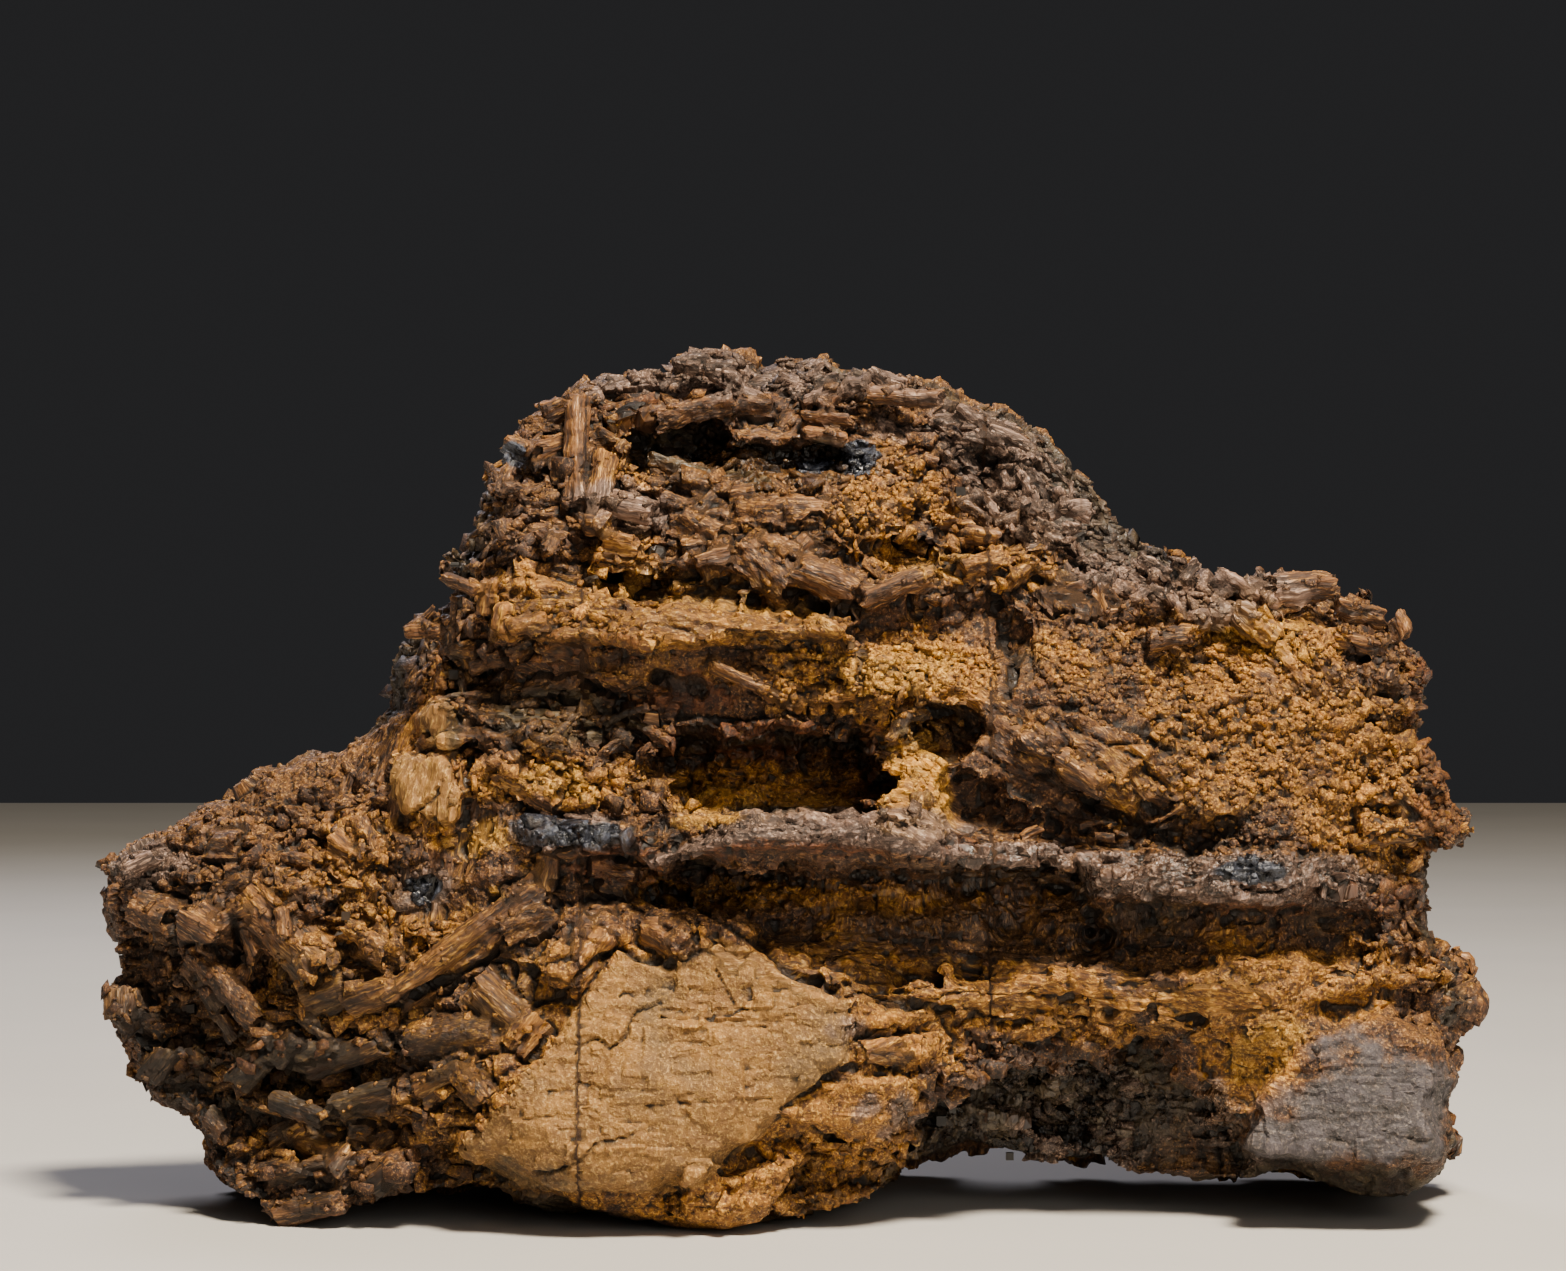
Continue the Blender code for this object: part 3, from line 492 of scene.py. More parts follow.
def cut_out(mesh, low, high):
    """The part of a closed mesh between two corners of a box, in metres, closed again along the box's sides.
    The sides are divided, so that no face along them is large, and flat, so that they don't shade the skin."""
    solid = bmesh.new()
    bmesh.ops.create_cube(solid, size=1.0)
    bmesh.ops.subdivide_edges(solid, edges=solid.edges[:], cuts=CUT_CELLS, use_grid_fill=True)
    for face in solid.faces:
        face.smooth = False
    made = bpy.data.meshes.new("box")
    solid.to_mesh(made)
    solid.free()
    corners, _ = vertices_and_normals(made)
    set_vertices(made, np.array(low) + (corners + 0.5) * np.subtract(high, low))
    box = bpy.data.objects.new("box", made)
    bpy.context.scene.collection.objects.link(box)
    part = with_modifier(mesh, "BOOLEAN", operation="INTERSECT", object=box, solver="MANIFOLD")
    bpy.data.objects.remove(box)
    return part


def close_up(mesh):
    """Gives every edge two faces again after thinning, which leaves a few doubled faces, faces that stand on
    one edge, and loose edges."""
    solid = bmesh.new()
    solid.from_mesh(mesh)
    same = {}
    for face in solid.faces:
        same.setdefault(frozenset(vertex.index for vertex in face.verts), []).append(face)
    wrong = {face for faces in same.values() if len(faces) > 1 for face in faces}
    wrong.update(edge.link_faces[0] for edge in solid.edges if len(edge.link_faces) == 1)
    bmesh.ops.delete(solid, geom=[face for face in solid.faces if face in wrong], context="FACES")
    bmesh.ops.collapse(solid, edges=[edge for edge in solid.edges if len(edge.link_faces) > 2])
    rims = [edge for edge in solid.edges if len(edge.link_faces) == 1]
    patched = bmesh.ops.holes_fill(solid, edges=rims, sides=0)["faces"]
    bmesh.ops.triangulate(solid, faces=patched)
    bmesh.ops.delete(solid, geom=[vertex for vertex in solid.verts if not vertex.link_faces], context="VERTS")
    solid.to_mesh(mesh)
    solid.free()


def body_sheets():
    """Front and back sheets over the grid cells whose middle is inside the outline, and the rim's rows.

    The grid's outer corners are drawn onto the outline. A place on a sheet is deep = front or back depth,
    and one on the rim's row r of RIM_ROWS is deep = front + (back - front) * r / RIM_ROWS.
    """
    across = np.arange(-204, 206, GRID)
    up = np.arange(-12, 254, GRID)
    middles = np.stack(np.meshgrid(across[:-1] + GRID / 2, up[:-1] + GRID / 2, indexing="ij"), axis=-1)
    inside = inset(middles.reshape(-1, 2), OUTLINE)[0] > 0
    column, row = np.nonzero(inside.reshape(middles.shape[:2]))
    corner = np.stack([
        column * len(up) + row, (column + 1) * len(up) + row,
        (column + 1) * len(up) + row + 1, column * len(up) + row + 1], axis=1)
    used, cells = np.unique(corner, return_inverse=True)
    cells = cells.reshape(-1, 4)
    face = np.column_stack([across[used // len(up)], up[used % len(up)]])

    count = len(used)
    edges = np.concatenate([cells[:, [side, (side + 1) % 4]] for side in range(4)])
    forward = edges[:, 0] * count + edges[:, 1]
    backward = edges[:, 1] * count + edges[:, 0]
    rim_edges = edges[~np.isin(forward, backward)]
    on_rim = np.unique(rim_edges)
    distance, inwards = inset(face, OUTLINE)
    face[on_rim] -= inwards[on_rim] * distance[on_rim][:, None]
    distance = np.maximum(distance, 0)
    distance[on_rim] = 0

    def rounded(sheet, rim, size):
        """The sheet, turned over to meet the rim along a quarter of an ellipse."""
        return sheet + (rim - sheet) * (1 - np.sqrt(1 - (1 - np.clip(distance / size, 0, 1)) ** 2))

    flat_edge = FRONT_ROUNDING * (1 - 0.85 * within(face, ("grey plate",), 8.0))
    rim = through_stations(face, RIM_STATIONS, RIM_SPREAD)
    back = rounded(through_stations(face, BACK_STATIONS, BACK_SPREAD)[:, 0], rim[:, 1], BACK_ROUNDING)
    front = rounded(front_depth(face), rim[:, 0], flat_edge)
    front = np.minimum(front, back - LEAST_THICKNESS)

    def drawn_in(share):
        """The places at that share of the way through, drawn inwards from the outline."""
        depth = RIM_INSET * ((share - WIDEST_AT) / (1 - WIDEST_AT)) ** 2
        return face + inwards * (depth * np.clip(1 - distance / (4 * RIM_INSET), 0, 1))[:, None]

    place_in = np.full(count, -1)
    place_in[on_rim] = np.arange(len(on_rim))
    rows = [np.arange(count)]
    faces = [cells, cells[:, ::-1] + count]
    points = [np.column_stack([drawn_in(0), front]), np.column_stack([drawn_in(1), back])]
    shares = [np.zeros(count), np.ones(count)]
    for step in range(1, RIM_ROWS):
        share = step / RIM_ROWS
        rows.append(np.where(place_in >= 0, 2 * count + (step - 1) * len(on_rim) + place_in, -1))
        points.append(np.column_stack([drawn_in(share), front + (back - front) * share])[on_rim])
        shares.append(np.full(len(on_rim), share))
    rows.append(np.arange(count) + count)
    for upper, lower in zip(rows[:-1], rows[1:]):
        start, end = rim_edges[:, 0], rim_edges[:, 1]
        faces.append(np.stack([upper[end], upper[start], lower[start], lower[end]], axis=1))
    return np.concatenate(points), np.concatenate(faces), np.concatenate(shares)


def broken_body():
    """The two sheets with their large chips, in millimetres."""
    points, faces, shares = body_sheets()
    mesh = mesh_from("body", points[:, [0, 2, 1]], faces)
    surface, normals = vertices_and_normals(mesh)
    bpy.data.meshes.remove(mesh)
    height = sum(size * chips(surface, grain, seed) for grain, size, seed in CHIP_LAYERS)
    calmer = 1 - (1 - SMOOTH_SHARE) * smooth_ledges(surface[:, [0, 2]]) * (shares < 0.5)
    surface += normals * (height * calmer)[:, None]
    triangles = np.concatenate([faces[:, [0, 1, 2]], faces[:, [0, 2, 3]]])
    return in_room(surface[:, [0, 2]], surface[:, 1]) * 1000, triangles


# The stems: reeds, rushes and splinters of wood, cast in brown ore and cemented into the body's face.
# Each is a run of rings along its line, dented, some squarer than round, with broken ends. The named ones are
# listed one by one, and the rest are strewn with a fixed seed between them. All are fused with the body later.

STEM_SIDES = 16
STEM_RING_GAP = 2.0

# How much of a stem's width stands out of the front, for each group
PROUD = {"crown": 0.5, "middle": 0.4, "right shoulder": 0.72, "left wing": 0.42, "round the clay plate": 0.15}
STEMS = {
    "crown": [
        ((-59, 234), (-60, 203), 7), ((-51, 218), (-53, 200), 9), ((-38, 227), (-15, 233), 8),
        ((6, 229), (20, 228), 5), ((6, 224), (18, 222), 5), ((-39, 217), (-21, 212), 5),
        ((-14, 201), (1, 201), 8), ((0, 202), (16, 200), 7), ((-50, 204), (-37, 201), 8),
        ((-72, 218), (-63, 221), 8), ((-80, 222), (-73, 218), 7), ((-58, 198), (-50, 196), 7),
        ((-31, 200), (-19, 194), 8), ((-70, 229), (-63, 232), 8), ((25, 235), (46, 234), 6),
        ((60, 225), (72, 220), 5)],
    "middle": [
        ((-21, 192), (-18, 183), 9), ((-12, 192), (3, 178), 10), ((4, 185), (21, 178), 8),
        ((53, 195), (62, 193), 6), ((51, 185), (64, 187), 8), ((65, 180), (73, 187), 5),
        ((18, 196), (16, 192), 7), ((-21, 157), (6, 146), 5), ((-91, 142), (-65, 140), 6),
        ((-88, 136), (-53, 135), 5), ((22, 176), (43, 183), 6), ((-82, 127), (-65, 118), 8),
        ((80, 129), (93, 121), 7)],
    "right shoulder": [
        ((141, 179), (159, 180), 8), ((160, 174), (174, 170), 7), ((160, 166), (175, 162), 6),
        ((149, 164), (163, 150), 5), ((143, 161), (156, 146), 5), ((133, 172), (142, 164), 6),
        ((106, 164), (119, 165), 7), ((177, 171), (180, 164), 8), ((175, 121), (191, 105), 9),
        ((167, 109), (185, 108), 8)],
    "left wing": [
        ((-114, 59), (-70, 92), 8), ((-81, 80), (-67, 86), 7), ((-90, 64), (-78, 53), 10),
        ((-79, 46), (-72, 55), 8), ((-139, 59), (-126, 64), 9), ((-126, 59), (-112, 64), 8),
        ((-109, 48), (-82, 51), 9), ((-171, 73), (-152, 53), 8), ((-174, 70), (-159, 48), 5),
        ((-155, 91), (-134, 69), 14), ((-172, 84), (-162, 78), 13), ((-156, 81), (-152, 73), 6),
        ((-130, 105), (-123, 100), 11), ((-127, 80), (-113, 71), 9), ((-192, 64), (-192, 54), 10),
        ((-151, 48), (-135, 42), 9),
        ((-137, 40), (-115, 48), 8), ((-159, 35), (-151, 43), 9), ((-149, 31), (-133, 25), 7),
        ((-132, 29), (-113, 34), 7), ((-105, 33), (-91, 42), 8), ((-184, 36), (-177, 45), 8),
        ((-167, 27), (-161, 20), 6), ((-146, -3), (-128, 1), 7),
        ((-151, 9), (-140, 12), 8), ((-131, 8), (-125, 16), 7), ((-120, 5), (-110, 13), 8),
        ((-188, 87), (-176, 82), 9), ((-123, 112), (-119, 100), 8)],
    "round the clay plate": [
        ((-65, 64), (-53, 80), 9), ((-41, 80), (-27, 74), 6), ((34, 63), (66, 60), 7),
        ((88, 60), (106, 58), 9), ((106, 57), (118, 51), 9), ((135, 50), (159, 63), 6),
        ((159, 63), (191, 67), 7)],
}

# Strewn stems: (across, up, half width, half height), how many, direction in degrees and its spread,
# shortest and longest, thinnest and thickest
STREWN = [
    ((-5, 238, 74, 9), 40, 0, 30, (4, 12), (2.5, 5)),
    ((-66, 212, 20, 26), 26, 15, 70, (4, 12), (3, 6)),
    ((-12, 199, 46, 13), 28, 2, 22, (5, 15), (3, 6)),
    ((66, 212, 34, 20), 44, -25, 30, (4, 12), (2, 4.5)),
    ((115, 178, 44, 9), 44, -14, 28, (4, 12), (2, 4.5)),
    ((-92, 166, 20, 16), 18, 40, 50, (5, 12), (3, 5)),
    ((-66, 140, 34, 12), 12, 0, 16, (10, 26), (2, 3.5)),
    ((15, 145, 34, 10), 10, -20, 40, (5, 12), (2, 4)),
    ((-150, 96, 38, 14), 12, 10, 60, (4, 11), (4, 8)),
    ((-165, 60, 30, 24), 10, -30, 60, (5, 14), (4, 9)),
    ((-118, 40, 34, 16), 6, 10, 40, (6, 14), (4, 8)),
    ((-132, 12, 28, 12), 9, 0, 60, (4, 11), (4, 8)),
    ((-60, 95, 30, 10), 8, 25, 50, (5, 12), (3, 6)),
    ((182, 140, 14, 36), 18, 60, 40, (4, 11), (3, 6)),
    ((100, 108, 70, 6), 10, 0, 18, (6, 14), (2, 3.5)),
    ((90, 68, 60, 6), 8, -6, 24, (6, 14), (2, 4)),
    ((45, 48, 18, 14), 8, -4, 16, (8, 18), (3, 5)),
]


def strewn_stems(rng):
    """The strewn stems as (both ends on the face, diameter)."""
    stems = []
    for (across, up, half_width, half_height), count, direction, spread, lengths, widths in STREWN:
        radius = np.sqrt(rng.random(count))
        turn = rng.random(count) * 2 * math.pi
        middle = np.column_stack([
            across + half_width * radius * np.cos(turn), up + half_height * radius * np.sin(turn)])
        angle = np.radians(direction + spread * rng.standard_normal(count))
        half = rng.uniform(*lengths, count) / 2
        run = np.column_stack([np.cos(angle), np.sin(angle)]) * half[:, None]
        kept = inset(middle, OUTLINE)[0] > 3
        for name in ("crown hollow", "cave", "recess under the shelf", "band hollow", "hole beside the rib"):
            kept &= inset(middle, HOLLOWS[name][2])[0] < 0
        width = rng.uniform(*widths, count)
        stems += [(middle[i] - run[i], middle[i] + run[i], width[i]) for i in np.flatnonzero(kept)]
    return stems


def stem_frame(first, last):
    """The stem's length, its direction, and two directions square to it."""
    run = last - first
    length = np.linalg.norm(run)
    along = run / length
    side = np.cross(along, (0.3, 0.8, 0.52))
    side /= np.linalg.norm(side)
    return length, along, side, np.cross(along, side)


def stem_shape(first, last, radius, rng):
    """One stem between two points in millimetres: its points and triangles.

    Ring r at share t has radius * (outline(turn) + dents(turn, t)), where the outline lies between a circle
    and a rounded square. The last rings step out or in unevenly along the line, and each end is closed by an
    inner ring and a middle point, sunk where the stem was hollow.
    """
    length, along, side, across = stem_frame(first, last)
    rings = max(4, int(length / STEM_RING_GAP) + 1)
    share = np.linspace(0, 1, rings)[:, None]
    turn = np.linspace(0, 2 * math.pi, STEM_SIDES, endpoint=False)[None, :] + rng.random() * 6

    square = rng.random() ** 1.2
    boxy = (np.abs(np.cos(turn)) ** 5 + np.abs(np.sin(turn)) ** 5) ** -0.2
    around = np.stack([
        np.cos(turn) * np.ones_like(share) * radius, np.sin(turn) * np.ones_like(share) * radius,
        share * np.ones_like(turn) * length], axis=-1)
    dents = smooth_noise(around.reshape(-1, 3) + rng.random(3) * 99, max(1.8, radius), 61)
    dents = dents.reshape(rings, STEM_SIDES)
    girth = radius * (1 + square * (boxy - 1) + 0.12 * dents)
    flat = 1 - 0.35 * rng.random()
    bend = (share * (1 - share) * 4) * length * 0.03 * rng.standard_normal()
    jag = 0.2 * radius * rng.standard_normal((2, STEM_SIDES)) + 0.35 * radius * np.cos(turn + rng.random() * 6)
    reach = share * length + np.zeros_like(turn)
    reach[[0, -1]] += jag

    def place(reach, out_side, out_across):
        return first + along * reach[..., None] + side * out_side[..., None] + across * out_across[..., None]

    shell = place(reach, girth * np.cos(turn) + bend, girth * np.sin(turn) * flat)
    sunk = radius * (1.2 if rng.random() < 0.3 else 0.15)
    inner, tips = [], []
    for end, step in ((0, 1), (-1, -1)):
        core = girth[end] * 0.6
        inner.append(place(reach[end] + step * sunk * 0.3, core * np.cos(turn[0]) + bend[end],
                           core * np.sin(turn[0]) * flat))
        tips.append(place(np.array([reach[end].mean() + step * sunk]), bend[end], np.zeros(1)))
    points = np.concatenate([shell.reshape(-1, 3), *inner, *tips])

    step = np.arange(STEM_SIDES)
    after = (step + 1) % STEM_SIDES
    base = (np.arange(rings - 1) * STEM_SIDES)[:, None]
    quads = np.stack([base + step, base + after, base + STEM_SIDES + after, base + STEM_SIDES + step], axis=-1)
    start_ring = rings * STEM_SIDES
    end_ring = start_ring + STEM_SIDES
    last_ring = start_ring - STEM_SIDES
    tip = end_ring + STEM_SIDES
    quads = np.concatenate([
        quads.reshape(-1, 4),
        np.stack([after, step, start_ring + step, start_ring + after], axis=-1),
        np.stack([last_ring + step, last_ring + after, end_ring + after, end_ring + step], axis=-1)])
    fans = np.concatenate([
        np.stack([start_ring + after, start_ring + step, np.full(STEM_SIDES, tip)], axis=-1),
        np.stack([end_ring + step, end_ring + after, np.full(STEM_SIDES, tip + 1)], axis=-1)])
    return points, np.concatenate([quads[:, [0, 1, 2]], quads[:, [0, 2, 3]], fans])


def joined(shapes):
    """Several (points, triangles) as one, with the triangles' numbers moved on."""
    starts = np.cumsum([0] + [len(points) for points, _ in shapes[:-1]])
    triangles = np.concatenate([faces + start for (_, faces), start in zip(shapes, starts)])
    return np.concatenate([points for points, _ in shapes]), triangles


def laid_stems(rng):
    """Every stem's ends in the room in millimetres and its radius. Each is sunk in the front, level enough
    that it doesn't dive into a hollow."""
    listed = [(np.array(start, float), np.array(end, float), width) for group in STEMS.values()
              for start, end, width in group]
    proud = [PROUD[name] for name, group in STEMS.items() for _ in group]
    listed += strewn_stems(rng)
    proud += list(rng.uniform(0.05, 0.4, len(listed) - len(proud)))
    ends = np.array([point for start, end, _ in listed for point in (start, end)])
    deep = front_depth(ends).reshape(-1, 2)
    laid = []
    for (start, end, width), (near, far), out in zip(listed, deep, proud):
        half = np.hypot(*(end - start)) / 2
        slope = np.clip((far - near) / 2, -0.45 * half, 0.45 * half)
        middle = min((near + far) / 2, near + 3 + slope, far + 3 - slope)
        lying = np.array([middle - slope, middle + slope]) + width * (0.5 - out)
        first, last = in_room(np.array([start, end]), lying) * 1000
        laid.append((first, last, width / 2))
    return laid


# Places where the ore differs: rough rubble, crumbs, bedding, colours. They are soft ovals.
RUBBLE = [
    (-5, 238, 75, 16, 0, 1.0), (-70, 205, 26, 40, 70, 0.9), (62, 222, 46, 18, -38, 1.0),
    (115, 180, 46, 14, -18, 1.0), (-20, 205, 44, 18, 0, 0.9), (-90, 170, 26, 16, 50, 0.9),
    (-120, 104, 34, 18, 25, 0.7), (-60, 130, 34, 22, 0, 0.9), (-150, 60, 44, 40, 0, 0.9),
    (-115, 15, 46, 20, 0, 0.9), (60, 190, 40, 20, -20, 0.9), (15, 140, 34, 18, 0, 0.8),
    (180, 140, 22, 40, 0, 0.8), (188, 80, 16, 30, 0, 0.9), (75, 36, 40, 16, 0, 0.9), (0, 8, 60, 12, 0, 0.8),
]
CRUMBS = [
    (146, 135, 44, 32, -8, 1.0), (98, 152, 26, 20, 0, 0.7), (33, 205, 15, 14, 0, 0.8),
    (22, 155, 34, 12, 0, 0.9), (-64, 125, 26, 9, 0, 0.7), (-45, 164, 40, 5, -4, 0.5),
    (150, 110, 40, 12, 0, 0.8), (-124, 92, 26, 10, 20, 0.5), (178, 130, 16, 26, 0, 0.7),
    (-10, 93, 34, 4, 0, 0.5),
]
BEDDING = [
    (-5, 200, 90, 60, 0, 0.8), (-60, 140, 44, 22, -6, 1.0), (90, 110, 90, 14, 0, 0.8),
    (60, 75, 80, 20, -6, 0.8), (110, 180, 60, 20, -18, 0.9), (-140, 90, 60, 40, 20, 0.4),
    (32, 48, 22, 18, -4, 1.0),
]

# Coarse blocks instead of fine rubble
BLOCKY = [
    (-150, 70, 52, 48, 0, 1.0), (-120, 20, 46, 28, 0, 1.0), (-55, 82, 34, 16, 0, 0.8),
    (-92, 52, 30, 30, 0, 0.9), (188, 110, 14, 50, 0, 0.8), (80, 30, 50, 22, 0, 0.8),
    (-110, 110, 20, 20, 0, 0.6), (95, 130, 24, 18, 0, 0.8), (40, 60, 60, 12, 0, 0.6),
]

# Seeds of the strewn stems' places, the stems' shapes, the stems' tones and the rubble
PLACE_SEED, SHAPE_SEED, TONE_SEED, RUBBLE_SEED = 11, 12, 5, 19

BODY_GRAIN = 0.0008
WORN_BELOW = 3.0

# Which way the ore's fibres and layers run: an oval, the direction in degrees, and the fibres' share of width
# that stays along it
FIBRES = [
    ((-5, 215, 85, 35, 0, 0.5), 0, 0.5), ((85, 200, 70, 22, -30, 0.6), -32, 0.45),
    ((-60, 140, 44, 20, -6, 0.6), -4, 0.4), ((60, 104, 120, 12, -2, 0.5), -3, 0.55),
    ((55, 86, 60, 9, -6, 0.7), 86, 0.35), ((55, 66, 80, 9, -6, 0.5), -8, 0.4),
    ((-48, 174, 62, 11, -8, 0.6), -7, 0.4), ((143, 163, 24, 15, -35, 1.0), -40, 0.12),
    ((-108, 118, 20, 32, 0, 0.9), 84, 0.12), ((38, 120, 15, 18, 0, 0.9), -22, 0.25),
    ((55, 142, 60, 8, -30, 0.7), -38, 0.3), ((95, 128, 26, 20, -40, 0.6), -42, 0.35),
]
# Cracks and gaps between blocks in the front: how wide, and the line from place to place
CRACKS = [
    (1.6, [(-34, 92), (-27, 89), (-19, 84), (-9, 76), (1, 70), (12, 64), (21, 61), (35, 60), (45, 56)]),
    (1.5, [(-72, 60), (-63, 63), (-58, 68), (-47, 74), (-41, 72), (-30, 69), (-23, 75)]),
    (0.9, [(-59, 48), (-51, 46), (-43, 53), (-37, 59)]), (0.9, [(-71, 9), (-58, 15), (-43, 21)]),
    (1.1, [(-17, 11), (-10, 21), (-3, 26), (12, 36), (20, 39)]),
    (1.2, [(8, 23), (17, 18), (20, 12), (30, 10)]), (1.2, [(22, 50), (37, 50), (43, 52)]),
    (1.1, [(23, 39), (35, 41), (44, 43)]), (0.7, [(21, 53), (22, 38)]), (1.4, [(44, 56), (51, 47), (46, 39)]),
    (2.6, [(-58, 89), (-42, 89)]), (0.7, [(-20, 68), (-14, 58)]), (2.2, [(-113, 57), (-91, 70), (-74, 77)]),
    (2.0, [(-128, 75), (-126, 74)]), (2.0, [(-127, 117), (-123, 117)]),
    (1.3, [(-131, 116), (-137, 108), (-144, 105)]), (1.2, [(-125, 110), (-116, 97), (-110, 92)]),
    (1.6, [(-173, 76), (-160, 74), (-154, 69)]), (1.6, [(-160, 86), (-156, 72)]),
    (1.3, [(-176, 84), (-177, 70)]), (1.6, [(-140, 54), (-128, 52), (-112, 44)]),
    (1.3, [(-83, 45), (-72, 50)]), (1.3, [(-110, 40), (-92, 43)]),
    (2.2, [(81, 144), (96, 141), (106, 138), (111, 133)]), (1.2, [(96, 133), (107, 135)]),
    (3.0, [(121, 130), (125, 131)]), (1.0, [(127, 132), (140, 135)]),
    (2.4, [(76, 125), (87, 117), (96, 112)]), (3.4, [(96, 112), (106, 107), (119, 106), (130, 110)]),
    (2.6, [(119, 159), (129, 155)]), (1.6, [(145, 146), (146, 145)]),
    (1.5, [(163, 145), (174, 146), (186, 149)]), (1.2, [(171, 129), (174, 120)]),
    (2.2, [(170, 116), (182, 114)]), (2.2, [(178, 107), (188, 106), (190, 102)]),
    (1.2, [(138, 101), (145, 98)]), (0.9, [(129, 169), (147, 155)]), (0.9, [(136, 171), (155, 158)]),
    (0.9, [(147, 167), (160, 156)]), (0.9, [(155, 173), (166, 160)]), (2.6, [(3, 178), (14, 173), (23, 171)]),
    (1.8, [(15, 200), (21, 192), (32, 189)]), (2.4, [(58, 179), (64, 172)]), (2.6, [(21, 165), (22, 155)]),
    (3.0, [(-36, 153), (-25, 149)]), (1.4, [(-84, 186), (-52, 181)]),
    (2.4, [(62, 171), (68, 160), (66, 149)]), (1.2, [(-88, 139), (-52, 137)]),
    (1.2, [(-90, 133), (-60, 131)]), (1.3, [(-86, 126), (-60, 128)]), (1.3, [(40, 182), (62, 176)]),
]
# Painted shade: places whose colours are made a little darker all over, as shade falls on them
PAINTED_SHADE = [
    (-150, 30, 62, 34, 0, 0.75), (-95, 68, 44, 22, 30, 0.5), (135, 128, 54, 34, 0, 0.5),
    (-45, 174, 62, 13, -6, 0.75), (60, 66, 110, 14, -6, 0.3), (10, 110, 110, 7, -2, 0.2),
    (-30, 35, 60, 44, 0, 0.1), (33, 205, 30, 20, 0, 0.25), (170, 30, 34, 22, 0, 0.2),
]
# Fibrous or folded places that are smooth otherwise
FOLDED = [(143, 163, 24, 14, -35, 0.85), (38, 120, 12, 15, 0, 0.8)]
SLATY = ("lip of the shelf", "step of the shelf", "end of the shelf", "blue lumps")


def front_share(face, deep):
    """1 on the front, 0 on the back, with a soft change along the middle of the rim."""
    middle = through_stations(face, RIM_STATIONS, RIM_SPREAD).mean(axis=1)
    return ramp(middle - deep, 8.0)


def laid_of(places, face, front):
    """The places in coordinates that are drawn together along the local fibres, so that any pattern made
    from them is stretched that way, in millimetres; and the strength of the fibres, 0 to 1."""
    fray = fray_at(face)
    strongest = np.full(len(face), 0.3)
    squashed = places.copy()
    fibrous = np.zeros(len(face))
    for oval, direction, share in FIBRES:
        here = patches(face, [oval], fray) * front
        ruled = here > strongest
        along = np.array([math.cos(math.radians(direction)), 0.0, math.sin(math.radians(direction))])
        run = places[ruled] @ along
        squashed[ruled] = places[ruled] - (1 - share) * run[:, None] * along
        fibrous[ruled] = here[ruled] * (1 - share)
        strongest[ruled] = here[ruled]
    return squashed, fibrous


def on_stems(places, stems):
    """For each place: the number of the stem that it lies on, or -1; its place across and along it; and how
    close beside a stem it lies if it is on none, 0 to 1."""
    order = np.argsort(places[:, 0])
    across_sorted = places[order, 0]
    owner = np.full(len(places), -1)
    own = np.zeros((len(places), 3))
    nearest = np.full(len(places), 1.0)
    beside = np.zeros(len(places))
    for number, (first, last, radius) in enumerate(stems):
        reach = 1.3 * radius + 0.6
        ends = [min(first[0], last[0]) - 1.4 * reach, max(first[0], last[0]) + 1.4 * reach]
        near = order[slice(*np.searchsorted(across_sorted, ends))]
        length, along, side, across = stem_frame(first, last)
        offset = places[near] - first
        local = np.stack([offset @ side, offset @ across, offset @ along], axis=1)
        distance = np.hypot(local[:, 0], local[:, 1]) / reach
        past = np.maximum(-0.8 - local[:, 2], local[:, 2] - length - 0.8) / reach
        apart = np.maximum(distance - 1, past)
        beside[near] = np.maximum(beside[near], np.where(apart > 0, np.clip(1 - apart / 0.35, 0, 1), 0))
        on = (distance < nearest[near]) & (past < 0)
        chosen = near[on]
        nearest[chosen] = distance[on]
        owner[chosen] = number
        own[chosen] = local[on]
    return owner, own, beside * (owner < 0)


def near_lines(face, lines):
    """How deep in one of some wandering, fading lines each place lies, in half widths: 0 outside, 1 in the
    middle of the line. A line is its half width in millimetres and the places that it runs through."""
    points = np.column_stack([face[:, 0], np.zeros(len(face)), face[:, 1]])
    wander = np.column_stack([1.8 * smooth_noise(points, 6.0, seed) for seed in (51, 52)])
    place = face + wander
    strength = np.zeros(len(face))
    for width, line in lines:
        for start, end in zip(np.array(line[:-1], float), np.array(line[1:], float)):
            run = end - start
            reach = np.abs(run) / 2 + width
            near = np.flatnonzero((np.abs(place - (start + end) / 2) < reach).all(axis=1))
            offset = place[near] - start
            share = np.clip(offset @ run / (run @ run), 0, 1)
            offset -= share[:, None] * run
            strength[near] = np.maximum(strength[near], width - np.hypot(offset[:, 0], offset[:, 1]))
    return strength * np.clip(0.9 + smooth_noise(points, 10.0, 53), 0.2, 1)
